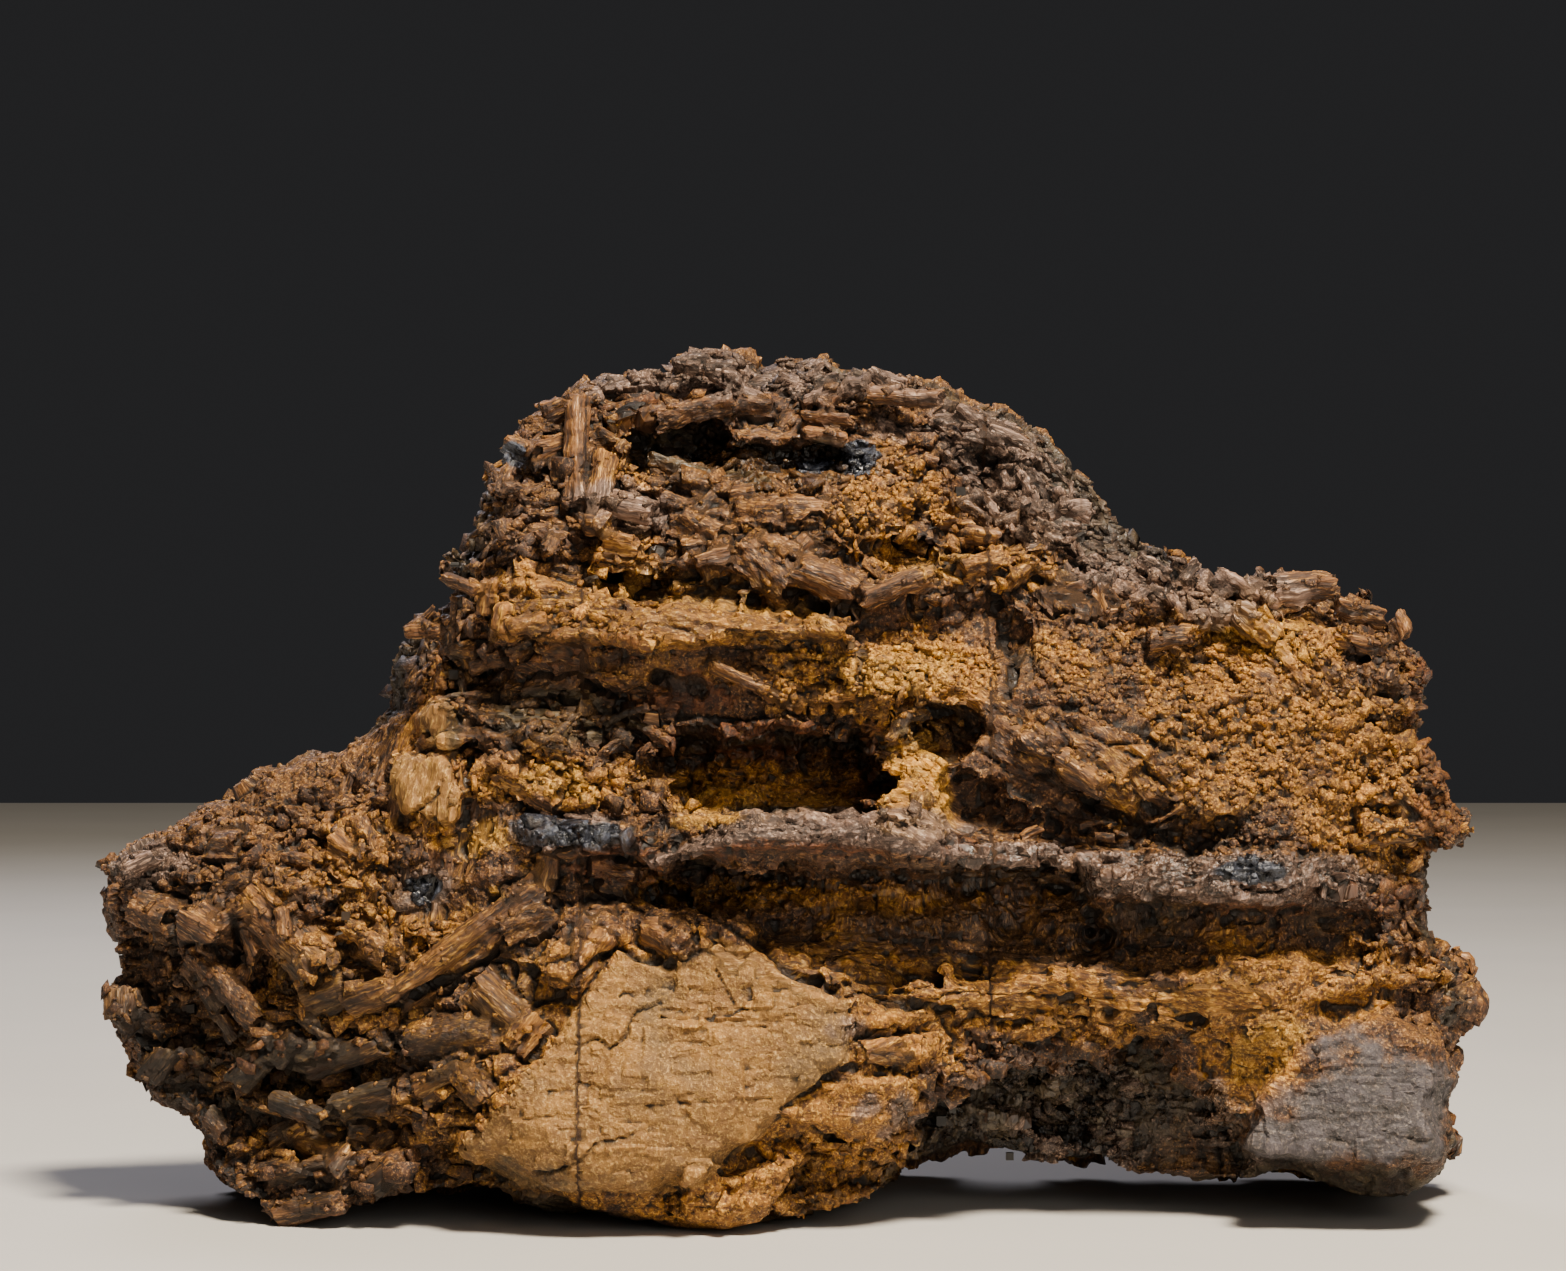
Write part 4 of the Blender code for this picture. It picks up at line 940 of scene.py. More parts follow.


# Colour grounds, also as soft ovals
# The gold oval at (-4, 117) makes the inside of the cave lighter: painted light.
GOLD = [
    (38, 120, 12, 15, 0, 1.0), (30, 156, 20, 8, 0, 0.8), (-66, 124, 18, 6, 0, 0.8),
    (136, 169, 20, 9, -35, 0.9), (-86, 107, 12, 5, 20, 0.7), (-84, 90, 5, 5, 0, 0.6),
    (-20, 112, 20, 3, 5, 0.7), (-20, 176, 34, 5, -8, 0.6), (45, 188, 8, 6, 0, 0.5), (141, 44, 13, 9, 40, 0.9),
    (-100, 128, 5, 12, 0, 0.3), (120, 62, 30, 5, 10, 0.4), (-125, 85, 16, 8, 30, 0.4),
    (160, 150, 16, 8, -30, 0.4), (-4, 117, 32, 6, 0, 0.6),
]
# The ochre oval at (-4, 122) is partly the cave's brown colour, partly painted light that makes its inside
# lighter.
OCHRE = [
    (132, 135, 58, 34, -6, 0.6), (138, 166, 30, 14, -30, 1.0), (45, 66, 20, 6, 0, 0.9),
    (141, 42, 13, 12, 40, 1.0), (24, 154, 38, 15, 0, 1.0), (-34, 176, 56, 9, -5, 1.0),
    (38, 122, 13, 15, 0, 1.0), (-66, 124, 30, 9, 0, 0.9), (-48, 203, 12, 26, 0, 0.7),
    (33, 205, 17, 16, 0, 0.9), (-104, 128, 12, 24, 0, 1.0), (57, 62, 60, 11, -8, 0.9),
    (150, 66, 45, 14, 0, 0.8), (131, 46, 12, 24, 0, 0.9), (-135, 98, 46, 10, 26, 0.55),
    (-40, 35, 70, 50, 0, 0.8), (10, 12, 40, 20, 0, 0.7), (-130, 20, 40, 10, 0, 0.6),
    (172, 120, 26, 30, 0, 0.7), (-80, 55, 26, 20, 30, 0.6), (-6, 90, 60, 5, 0, 0.7),
    (-10, 178, 50, 6, -10, 0.6), (70, 188, 14, 14, 0, 0.7), (-120, 70, 60, 26, 20, 0.55),
    (60, 195, 20, 20, 0, 0.5), (90, 88, 90, 10, -6, 0.35), (-140, 40, 40, 20, 0, 0.5),
    (-30, 155, 60, 12, -6, 0.5), (-4, 122, 34, 9, 0, 0.8), (32, 48, 22, 16, 0, 0.9),
    (-150, 112, 50, 12, 22, 0.3), (0, 200, 50, 16, 0, 0.4), (80, 160, 20, 8, -30, 0.6),
]
RUST = [
    (-10, 135, 34, 6, 0, 0.9), (190, 135, 8, 40, 0, 0.7), (-26, 148, 18, 8, 0, 0.8), (60, 85, 70, 8, 0, 0.3),
    (-145, 44, 30, 8, 0, 0.6), (75, 152, 14, 14, 0, 0.4), (20, 104, 60, 4, 0, 0.6), (-60, 160, 30, 8, 0, 0.5),
    (-100, 140, 14, 20, 0, 0.5), (155, 90, 40, 8, 0, 0.5), (10, 118, 30, 10, 0, 0.5),
    (0, 225, 70, 20, 0, 0.4), (100, 190, 50, 14, -25, 0.45), (-50, 100, 14, 8, 0, 0.8),
]
GREY = [
    (-5, 242, 64, 9, 0, 0.7), (-45, 203, 20, 8, -10, 0.7), (16, 110, 32, 5, 0, 1.0),
    (-63, 109, 18, 5, 0, 0.9), (85, 26, 50, 14, 0, 0.9), (160, 28, 34, 22, 20, 0.55),
    (115, 184, 40, 12, -16, 0.75), (-186, 100, 14, 8, 0, 0.8), (66, 103, 18, 3, 0, 0.9),
    (150, 94, 26, 4, 0, 0.8), (70, 212, 46, 18, -34, 0.7), (-104, 92, 10, 8, 0, 0.6), (20, 50, 10, 8, 0, 0.5),
    (0, 222, 60, 20, 0, 0.4), (-80, 200, 20, 20, 0, 0.4),
]
SLATE = [(171, 28, 29, 20, 8, 1.0), (148, 19, 18, 9, 0, 0.9), (160, 47, 13, 7, 20, 0.6)]
WET = [
    (85, 28, 50, 16, 0, 0.9), (-8, 216, 34, 8, 0, 0.9), (30, 85, 70, 10, -5, 0.5), (-66, 141, 28, 12, 0, 0.5),
]
STEEL = [
    (21, 217, 4, 5, -30, 1.0), (133, 97, 12, 3, 0, 1.0), (-60, 108, 14, 3, 0, 1.0), (-104, 92, 5, 4, 0, 1.0),
    (8, 215, 6, 2.5, 0, 0.8), (-78, 218, 4, 4, 0, 0.8),
]
# Dark places: partly dark ore, partly painted shade where the hollows, the undercuts along the bottom and the
# lower left of the wing lie in shade.
DARK = [
    (-8, 216, 34, 8, 0, 0.9), (-66, 141, 28, 12, -8, 0.85), (-155, 36, 44, 22, 0, 0.8),
    (-85, 62, 22, 10, 35, 0.5), (-16, 179, 34, 5, -6, 0.6), (45, 140, 12, 7, 0, 0.8),
    (-180, 60, 24, 22, 0, 0.6), (-140, 66, 24, 12, 0, 0.6), (-100, 50, 30, 8, 20, 0.6),
    (92, 26, 44, 13, 0, 0.3), (-130, 38, 28, 6, 0, 0.7), (-75, 8, 34, 7, 0, 0.7), (30, 6, 30, 8, 0, 0.6),
    (70, 158, 12, 10, 0, 0.6), (-95, 145, 3, 16, 0, 0.8), (160, 6, 36, 7, 0, 0.95),
    (-175, 30, 14, 20, 0, 0.6), (-120, 8, 40, 8, 0, 0.6), (60, 96, 50, 4, -4, 0.6), (48, 86, 56, 9, -8, 0.5),
]


def ground_values(face, deep, front, normals):
    """The ore's kinds at each place, 0 to 1: ochre, clay, rust, grey, dark, steel, gold, slate, ochre powder and
    painted top light on what faces up, and gloss. dark is partly dark ore, partly painted shade in sunk places."""
    fray = fray_at(face)
    sunk = deep - through_stations(face, FRONT_STATIONS, FRONT_SPREAD)[:, 0]
    # How far each place is sunk behind the front's sheet: sunk places are darkened as painted shade, less in the
    # recess and the cave, and made glossier.
    pit = np.clip((sunk - 6) / 22.0, 0, 1) * front
    clay = within(face, ("clay plate",)) * front
    yellow = within(face, ("lower yellow block", "upper yellow block")) * front
    ochre = within(face, ("ochre rib", "yellow knob", "wooden ledge", "lobe under the plate",
                          "bench beside the plate")) * front
    grey = within(face, SLATY)
    glossy = within(face, ("step of the shelf", "end of the shelf", "blue lumps"))
    recess = within(face, ("recess under the shelf", "cave"))
    points = np.column_stack([face[:, 0], deep, face[:, 1]])
    mottled = 0.5 + 0.5 * smooth_noise(points, 16.0, 41) + 0.25 * smooth_noise(points, 6.0, 42)
    elsewhere = (1 - front) * mottled
    skins = patches(face, GREY, fray)
    wet = patches(face, WET, fray)
    return {
        "ochre": np.maximum(np.maximum(patches(face, OCHRE, fray) * front, ochre), 0.75 * elsewhere),
        "clay": np.maximum(clay, 0.9 * yellow),
        "rust": np.maximum(patches(face, RUST, fray) * front, 0.5 * (1 - front) * np.clip(0.9 - mottled, 0, 1)),
        "grey": np.maximum(skins, grey) * front,
        # dark: partly dark ore, partly painted shade in the sunk places.
        "dark": np.maximum(patches(face, DARK, fray) * front * 0.9, pit * (1 - 0.85 * recess)),
        "steel": np.maximum(0.6 * within(face, ("blue lumps",), 1.5), patches(face, STEEL, fray)) * front,
        "gold": patches(face, GOLD, fray) * front,
        "slate": patches(face, SLATE, fray) * within(face, ("grey plate",), 3.0) * front,
        # Upward-facing places: partly ochre powder, partly painted top light; the material makes them yellower and
        # lighter.
        "dust_and_top_light": ramp(normals[:, 2] - 0.35, 0.3),
        "gloss": np.maximum(np.maximum(skins * 0.4, 0.8 * glossy), np.maximum(wet, pit * 0.6)) * front,
    }


def store(mesh, values):
    """Keeps each named array as a point attribute of the mesh: numbers, or rows of three."""
    for name, value in values.items():
        flat = value.ndim == 1
        attribute = mesh.attributes.new(name, "FLOAT" if flat else "FLOAT_VECTOR", "POINT")
        rows = np.ascontiguousarray(value, np.float32).ravel()
        attribute.data.foreach_set("value" if flat else "vector", rows)


def smoothed(mesh, values, times):
    """Each point's value averaged with its neighbours' that many times."""
    pairs = np.empty(len(mesh.edges) * 2, np.int32)
    mesh.edges.foreach_get("vertices", pairs)
    first, second = pairs.reshape(-1, 2).T
    count = np.bincount(first, minlength=len(values)) + np.bincount(second, minlength=len(values)) + 1
    for _ in range(times):
        total = values + np.bincount(first, values[second], len(values))
        values = (total + np.bincount(second, values[first], len(values))) / count
    return values


def relief_of(mesh):
    """How far each point stands out from its surroundings, -1 in a pit to 1 on an edge, within about 3 mm."""
    points, normals = vertices_and_normals(mesh)
    around = np.stack([smoothed(mesh, points[:, axis], 7) for axis in range(3)], axis=1)
    return np.clip(((points - around) * normals).sum(axis=1) * 1000 / 0.8, -1, 1)


def ore_skin(points, triangles, stems):
    """The finished skin of the block: the body and its stems remeshed as one, with its relief raised along the
    normals and its values kept.

    height = rough * (chips - scars - small scars - cracks - crevices) + layers + crumbs + fibres + unevenness,
    where a scar is a chip turned inwards, so that sharp edges stand between scars.
    """
    mesh = mesh_from("ore", points / 1000, triangles)
    mesh = with_modifier(mesh, "REMESH", mode="VOXEL", voxel_size=BODY_GRAIN, adaptivity=0.0)
    surface, normals = vertices_and_normals(mesh)
    face, deep = from_room(surface)
    places = surface * 1000
    front = front_share(face, deep)
    fray = fray_at(face)
    smooth = np.maximum(smooth_ledges(face), patches(face, FOLDED, fray)) * front
    blocky = np.maximum(patches(face, BLOCKY, fray) * front, 0.8 * (1 - front)) * (1 - smooth)
    rubble = np.maximum(patches(face, RUBBLE, fray), 0.35 * (1 - front)) * (1 - 0.75 * blocky)
    crumbs = patches(face, CRUMBS, fray) * front * (1 - smooth)
    crumbs *= np.clip(0.75 + 0.9 * smooth_noise(places, 13.0, 20), 0.1, 1)
    bedding = patches(face, BEDDING, fray) * front * (1 - smooth)

    laid, fibrous = laid_of(places, face, front)
    owner, own, beside = on_stems(places, stems)
    beside *= front * (1 - smooth)
    stem = (owner >= 0).astype(float)
    crumbs *= np.clip(1.3 - 1.6 * fibrous, 0, 1) * (1 - 0.8 * within(face, ("scar on the flank",)))
    lines = near_lines(face, CRACKS) * front
    tones = np.random.default_rng(TONE_SEED).uniform(-1, 1, len(stems) + 1)
    named = sum(len(group) for group in STEMS.values())
    tones[:named] = 0.9 * np.abs(tones[:named])
    drawn = own.copy()
    drawn[:, 2] *= np.where(tones > 0.3, 0.12, 0.45)[owner] * (owner > 0) + 0.1 * (owner == 0)
    drawn += owner[:, None] * 7.3
    laid = np.where(stem[:, None] > 0, drawn, laid)

    warp = np.column_stack([smooth_noise(places, 12.0, seed) for seed in (31, 32, 33)])
    bent = np.where(stem[:, None] > 0, places, laid) + 1.6 * warp

    def chipped(size, seed, **shape):
        """Chips of about that size in millimetres, drawn out along the fibres."""
        return facets(bent / np.array(size), seed, **shape)

    slaty = within(face, SLATY) * front
    rough = np.clip(0.45 + 0.55 * rubble, 0, 1) * (1 - 0.9 * smooth) * (1 - 0.8 * stem) * (1 - 0.8 * slaty)
    scars = chipped((13.0, 10.0, 7.5), 3, crown=0.25, tilt=1.1)[0]
    large, large_crack, mark = chipped((8.0, 7.0, 4.4), 5, crown=0.35, tilt=1.0)
    small, small_crack, small_mark = chipped((3.8, 3.2, 2.2), 6, crown=0.3, tilt=1.1)
    layers = chipped((26.0, 16.0, 3.6), 4)[0]
    plates = chipped((24.0, 14.0, 17.0), 12, crown=0.3, tilt=1.0)[0]
    flaky = chipped((9.0, 8.0, 6.0), 14, crown=0.35, tilt=1.2)[0]
    big, big_crack, big_mark = chipped((17.0, 14.0, 10.0), 21, crown=0.45, tilt=1.0)
    knobs = facets((places + 0.8 * warp) / np.array([2.2, 2.0, 1.6]), 7, crown=0.6, tilt=0.9)[0]
    porous = smooth_noise((places + warp) / np.array([1.35, 1.25, 0.85]), 2.0, 16)
    porous = np.clip(porous + 0.4 * smooth_noise(places, 7.0, 17) - 0.12, 0, 1)
    cloud = smooth_noise(places, 9.0, 15)
    crevice = np.maximum(*(
        np.clip(1 - np.abs(smooth_noise(bent, size, seed)) / 0.08, 0, 1)
        for size, seed in ((15.0, 18), (8.0, 19))))
    crevice *= np.clip(0.6 - 1.2 * cloud, 0, 1)
    large_crack = large_crack * np.clip(0.6 + cloud, 0, 1)
    fine = smooth_noise(places, 1.6, 8)
    fibre = smooth_noise(laid, 1.6, 10)
    height = rough * (1.5 * large - 1.9 * scars - 0.9 * small - 1.0 * large_crack - 2.2 * crevice)
    height += blocky * (1 - stem) * (3.2 * big - 2.2 * big_crack - 0.5 * small)
    height += 1.7 * bedding * (1 - stem) * (1 - slaty) * layers
    height += slaty * (1.8 * flaky - 0.6 * small - 0.8 * large_crack)
    height += crumbs * (0.5 * knobs + 0.9 * cloud - 2.8 * porous)
    height += (1.4 * fibrous ** 2 * (1 - 0.3 * smooth) + 0.4 * stem) * fibre + 0.28 * fine
    height += smooth * (1.6 * plates + 0.6 * flaky - 0.5 * small) - 1.5 * lines - 1.3 * beside
    slabs = chipped((38.0, 30.0, 26.0), 23, crown=0.5, tilt=1.0)[0]
    height += np.clip(1 - 2 * front, 0, 1) * 4.5 * (slabs - 0.25)
    down = places[:, 2] < WORN_BELOW
    height = np.where(down, np.minimum(height, 0.2), height)
    set_vertices(mesh, (places + normals * height[:, None]) / 1000)

    lowered, normals = vertices_and_normals(mesh)
    lowered[:, 2] = np.maximum(lowered[:, 2], 0)
    set_vertices(mesh, lowered)
    values = ground_values(face, deep, front, normals)
    # Cracks, crevices, lines between blocks, pores among crumbs and the ground beside stems, which the material
    # darkens as painted shade.
    cracks = rough * np.maximum(np.maximum(large_crack, crevice), 0.5 * small_crack)
    cracks = np.maximum(np.maximum(cracks, lines / 0.8), np.maximum(blocky * big_crack, 5.0 * crumbs * porous))
    chip_tone = rough * (0.6 * mark + 0.4 * small_mark) + 0.5 * blocky * big_mark
    values["tone"] = np.where(stem > 0, 0.8 * tones[owner], chip_tone)
    # Painted light and painted shade in the tone: the inside of the cave is made lighter, and the listed shaded
    # places darker.
    values["tone"] += (1.2 * within(face, ("cave",)) - patches(face, PAINTED_SHADE, fray)) * front
    values["crack"] = np.maximum(cracks, 0.8 * beside)
    values["stem"] = stem
    values["relief"] = relief_of(mesh)
    values["even"] = smooth
    store(mesh, {name: np.clip(value, -1, 1) for name, value in values.items()})
    store(mesh, {"grain": laid / 1000})
    return mesh


def linear(colour):
    """A colour written as hexadecimal sRGB, as the linear values that shaders take."""
    channels = [int(colour[start:start + 2], 16) / 255 for start in (1, 3, 5)]
    return tuple(c / 12.92 if c <= 0.04045 else ((c + 0.055) / 1.055) ** 2.4 for c in channels) + (1.0,)


def add(tree, kind, inputs=(), **settings):
    """Adds a node with its settings. inputs maps a socket's name or number to a value or a feeding socket."""
    made = tree.nodes.new(kind)
    for name, value in settings.items():
        setattr(made, name, value)
    for name, value in dict(inputs).items():
        if isinstance(value, bpy.types.NodeSocket):
            tree.links.new(value, made.inputs[name])
        else:
            made.inputs[name].default_value = value
    return made


def mixed(tree, factor, first, second, blend="MIX"):
    """The colour between two, as a socket."""
    return add(
        tree, "ShaderNodeMix", {0: factor, 6: first, 7: second}, data_type="RGBA", blend_type=blend).outputs[2]


def math_of(tree, operation, first, second=0.5, third=0.5):
    return add(tree, "ShaderNodeMath", {0: first, 1: second, 2: third}, operation=operation).outputs[0]


def stretch(tree, value, low, high):
    """0 where the value is low or less, 1 where it is high or more."""
    return add(
        tree, "ShaderNodeMapRange", {"Value": value, "From Min": low, "From Max": high},
        interpolation_type="SMOOTHSTEP").outputs[0]


def ore_material(name):
    """Limonite: brown iron hydroxide, earthy and matt, with ochre powder, clay, rust, grey iron-black skins
    and slightly glossy hollows. Its kinds come from the mesh's values and fray into one another. Light and
    shade are painted into its colour: painted shade in hollows, cracks and between grains, and painted
    highlights on edges and on what faces up."""
    material = bpy.data.materials.new(name)
    material.use_nodes = True
    tree = material.node_tree
    shader = tree.nodes["Principled BSDF"]
    place = add(tree, "ShaderNodeAttribute", attribute_name="grain").outputs["Vector"]

    def noise(size, detail=4.0, rough=0.6, warp=0.0):
        """Cloudy noise whose largest lumps are about size metres."""
        return add(
            tree, "ShaderNodeTexNoise",
            {"Vector": place, "Scale": 1 / size, "Detail": detail, "Roughness": rough, "Distortion": warp}
        ).outputs["Fac"]

    def kind(attribute):
        return add(tree, "ShaderNodeAttribute", attribute_name=attribute).outputs["Fac"]

    def frayed(attribute, fine, low=0.35, high=0.65, spread=0.9):
        """A kind's value with a noisy edge: where value + (noise - 0.5) * spread passes the middle."""
        centred = math_of(tree, "SUBTRACT", kind(attribute), spread / 2)
        return stretch(tree, math_of(tree, "MULTIPLY_ADD", fine, spread, centred), low, high)

    def between(cloud, low, high, first, second):
        """Two colours, written as hexadecimal or given as sockets, blended where the cloud passes low to high."""
        ends = [linear(end) if isinstance(end, str) else end for end in (first, second)]
        return mixed(tree, stretch(tree, cloud, low, high), *ends)

    blotches = noise(0.008, 6.0, 0.7, 0.4)
    specks = noise(0.0026, 4.0, 0.75)
    grains = noise(0.0009, 3.0, 0.75)
    broad = noise(0.03, 3.0, 0.5)

    umber = between(specks, 0.4, 0.62, "#22130b", "#55351c")
    umber = between(grains, 0.52, 0.66, umber, "#8c643c")
    ochre = between(specks, 0.38, 0.62, "#57330f", "#93611d")
    ochre = between(grains, 0.5, 0.66, ochre, "#c8953f")
    gold = between(specks, 0.35, 0.62, "#6b4511", "#b17f26")
    gold = between(grains, 0.5, 0.66, gold, "#d9ac52")
    clay = between(blotches, 0.35, 0.7, "#704d24", "#8f662d")
    clay = between(broad, 0.45, 0.65, clay, "#6b5334")
    clay = between(grains, 0.5, 0.66, clay, "#b0894a")
    rust = between(specks, 0.4, 0.6, "#33190d", "#66381b")
    grey = between(blotches, 0.4, 0.65, "#30251f", "#69554b")
    grey = between(grains, 0.5, 0.68, grey, "#9b8476")
    slate = between(blotches, 0.35, 0.65, "#3b3837", "#4b484d")
    slate = between(grains, 0.5, 0.7, slate, "#67605c")
    dark = between(blotches, 0.4, 0.65, "#110e0a", "#4a422f")
    cast = between(specks, 0.4, 0.62, "#27170c", "#5f3d1e")
    cast = between(grains, 0.52, 0.68, cast, "#8a6230")

    colour = mixed(tree, frayed("ochre", blotches), umber, ochre)
    colour = mixed(tree, math_of(tree, "MULTIPLY", frayed("gold", specks), 0.85), colour, gold)
    # What faces up turns ochre: partly powder, partly painted top light.
    colour = mixed(tree, math_of(tree, "MULTIPLY", frayed("dust_and_top_light", specks), 0.25), colour, ochre)
    colour = mixed(tree, math_of(tree, "MULTIPLY", frayed("rust", specks), 0.7), colour, rust)
    colour = mixed(tree, math_of(tree, "MULTIPLY", kind("stem"), 0.5), colour, cast)
    colour = mixed(tree, frayed("clay", specks, spread=0.5), colour, clay)
    colour = mixed(tree, math_of(tree, "MULTIPLY", frayed("grey", blotches), 0.8), colour, grey)
    slated = math_of(tree, "MULTIPLY", frayed("slate", blotches, 0.2, 0.8), 0.85)
    colour = mixed(tree, slated, colour, slate)
    # The dark ground: partly dark ore, partly painted shade.
    colour = mixed(tree, math_of(tree, "MULTIPLY", frayed("dark", specks, 0.3, 0.8), 0.8), colour, dark)
    steel = between(specks, 0.4, 0.6, "#0f1013", "#3f434e")
    colour = mixed(tree, frayed("steel", specks, spread=0.4), colour, steel)
    # Painted shade: dark specks in the small gaps between grains, fewer on the smooth ledges.
    spotted = math_of(tree, "MULTIPLY_ADD", kind("even"), -0.5, 0.65)
    grain_gap_shade = math_of(tree, "MULTIPLY", stretch(tree, grains, 0.46, 0.36), spotted)
    colour = mixed(tree, grain_gap_shade, colour, linear("#1c110a"))
    # Painted shade: hollows in the relief, cracks and the ground beside stems are darkened towards near black.
    relief = kind("relief")
    painted_crevice_shade = stretch(tree, math_of(tree, "MULTIPLY_ADD", specks, -0.4, relief), -0.35, -0.95)
    painted_crevice_shade = math_of(tree, "MAXIMUM", painted_crevice_shade, math_of(tree, "MULTIPLY", kind("crack"), 0.9))
    colour = mixed(tree, math_of(tree, "MULTIPLY", painted_crevice_shade, 0.92), colour, linear("#110d08"))
    # Painted highlight: edges that stand out are made lighter. The tone below holds random tone with painted light
    # and shade, and what faces up is made lighter as painted top light.
    edges = stretch(tree, math_of(tree, "MULTIPLY_ADD", specks, 0.5, relief), 0.4, 1.2)
    shade = math_of(tree, "MULTIPLY_ADD", edges, 0.45, math_of(tree, "MULTIPLY_ADD", kind("tone"), 0.62, 1.0))
    shade = math_of(tree, "MULTIPLY_ADD", frayed("dust_and_top_light", specks), 0.15, shade)
    even_shade = add(tree, "ShaderNodeCombineColor", {0: shade, 1: shade, 2: shade}).outputs[0]
    colour = mixed(tree, 1.0, colour, even_shade, "MULTIPLY")
    tree.links.new(colour, shader.inputs["Base Color"])

    gloss = math_of(tree, "MAXIMUM", frayed("gloss", specks, 0.3, 0.9), kind("steel"))
    matt = stretch(tree, grains, 0.64, 0.52)
    matt = math_of(tree, "MULTIPLY_ADD", matt, 0.35, 0.35)
    rough = add(tree, "ShaderNodeMix", {0: gloss, 2: matt, 3: 0.2}).outputs[0]
    tree.links.new(rough, shader.inputs["Roughness"])
    shader.inputs["Specular IOR Level"].default_value = 0.45

    coarse = add(tree, "ShaderNodeBump", {"Height": blotches, "Strength": 0.6, "Distance": 0.0014})
    medium = add(
        tree, "ShaderNodeBump",
        {"Height": specks, "Strength": 0.9, "Distance": 0.001, "Normal": coarse.outputs[0]})
    fine = add(
        tree, "ShaderNodeBump",
        {"Height": grains, "Strength": 0.9, "Distance": 0.0004, "Normal": medium.outputs[0]})
    tree.links.new(fine.outputs[0], shader.inputs["Normal"])
    return material


def piece(name, mesh, material):
    """Puts a finished mesh in the scene as a piece of the stone."""
    mesh.materials.clear()
    mesh.materials.append(material)
    obj = bpy.data.objects.new(name, mesh)
    bpy.context.scene.collection.objects.link(obj)
    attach(obj, "root")
    return obj


# The skin is thinned and then cut into closed parts, each light enough for the library: the low and the high
# corner of the box that each fills, in metres. The box's sides are divided by CUT_CELLS cuts each way.
BODY_TRIANGLES = 720000
CUT_CELLS = 40
PARTS = {
    "ore_left": ((-0.3, -0.2, -0.1), (-0.058, 0.03, 0.3)),
    "ore_middle": ((-0.058, -0.2, -0.1), (0.056, 0.03, 0.3)),
    "ore_right": ((0.056, -0.2, -0.1), (0.3, 0.03, 0.3)),
    "ore_back_left": ((-0.3, 0.03, -0.1), (0, 0.2, 0.3)),
    "ore_back_right": ((0, 0.03, -0.1), (0.3, 0.2, 0.3)),
}

# Stems right of and below this place, in millimetres, take the block's own texture
PLAIN_RIGHT_OF, PLAIN_BELOW = 25, 78

stems = laid_stems(np.random.default_rng(PLACE_SEED))
bare_stems = [(first, last, radius) for first, last, radius in stems
              if not (first[0] > PLAIN_RIGHT_OF and first[2] < PLAIN_BELOW)]
shapes_rng = np.random.default_rng(SHAPE_SEED)
body_points, body_triangles = joined(
    [broken_body()] + [stem_shape(first, last, radius, shapes_rng) for first, last, radius in stems])
body_mesh = ore_skin(body_points, body_triangles, bare_stems)
ore = ore_material("cemented limonite")
body_mesh.calc_loop_triangles()
kept_share = min(1, BODY_TRIANGLES / len(body_mesh.loop_triangles))
thin_mesh = with_modifier(body_mesh, "DECIMATE", ratio=kept_share)
close_up(thin_mesh)
for name, (low, high) in PARTS.items():
    part = cut_out(thin_mesh, low, high)
    part.validate()
    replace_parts(piece(name, part, ore), "limonite_stone")


# Flakes and crumbs: small sharp chips of ore that are cemented to the rough parts of the body.
# Each is a jittered box with 12 faces. They sit on points of the body, drawn with a fixed seed, and take the
# body's kind of ore there.

FLAKES = 8000
CRUMB_COUNT = 8000


def box():
    """The 8 points and 12 faces of a box with half sides of 1."""
    points = np.array([(x, y, z) for x in (-1, 1) for y in (-1, 1) for z in (-1, 1)], float)
    faces = np.array([
        (0, 1, 3), (0, 3, 2), (4, 6, 7), (4, 7, 5), (0, 4, 5), (0, 5, 1),
        (2, 3, 7), (2, 7, 6), (0, 2, 6), (0, 6, 4), (1, 5, 7), (1, 7, 3)])
    return points, faces


def value_of(name):
    """The body's value of that name at each of its points."""
    values = np.empty(len(body_mesh.vertices), np.float32)
    body_mesh.attributes[name].data.foreach_get("value", values)
    return values


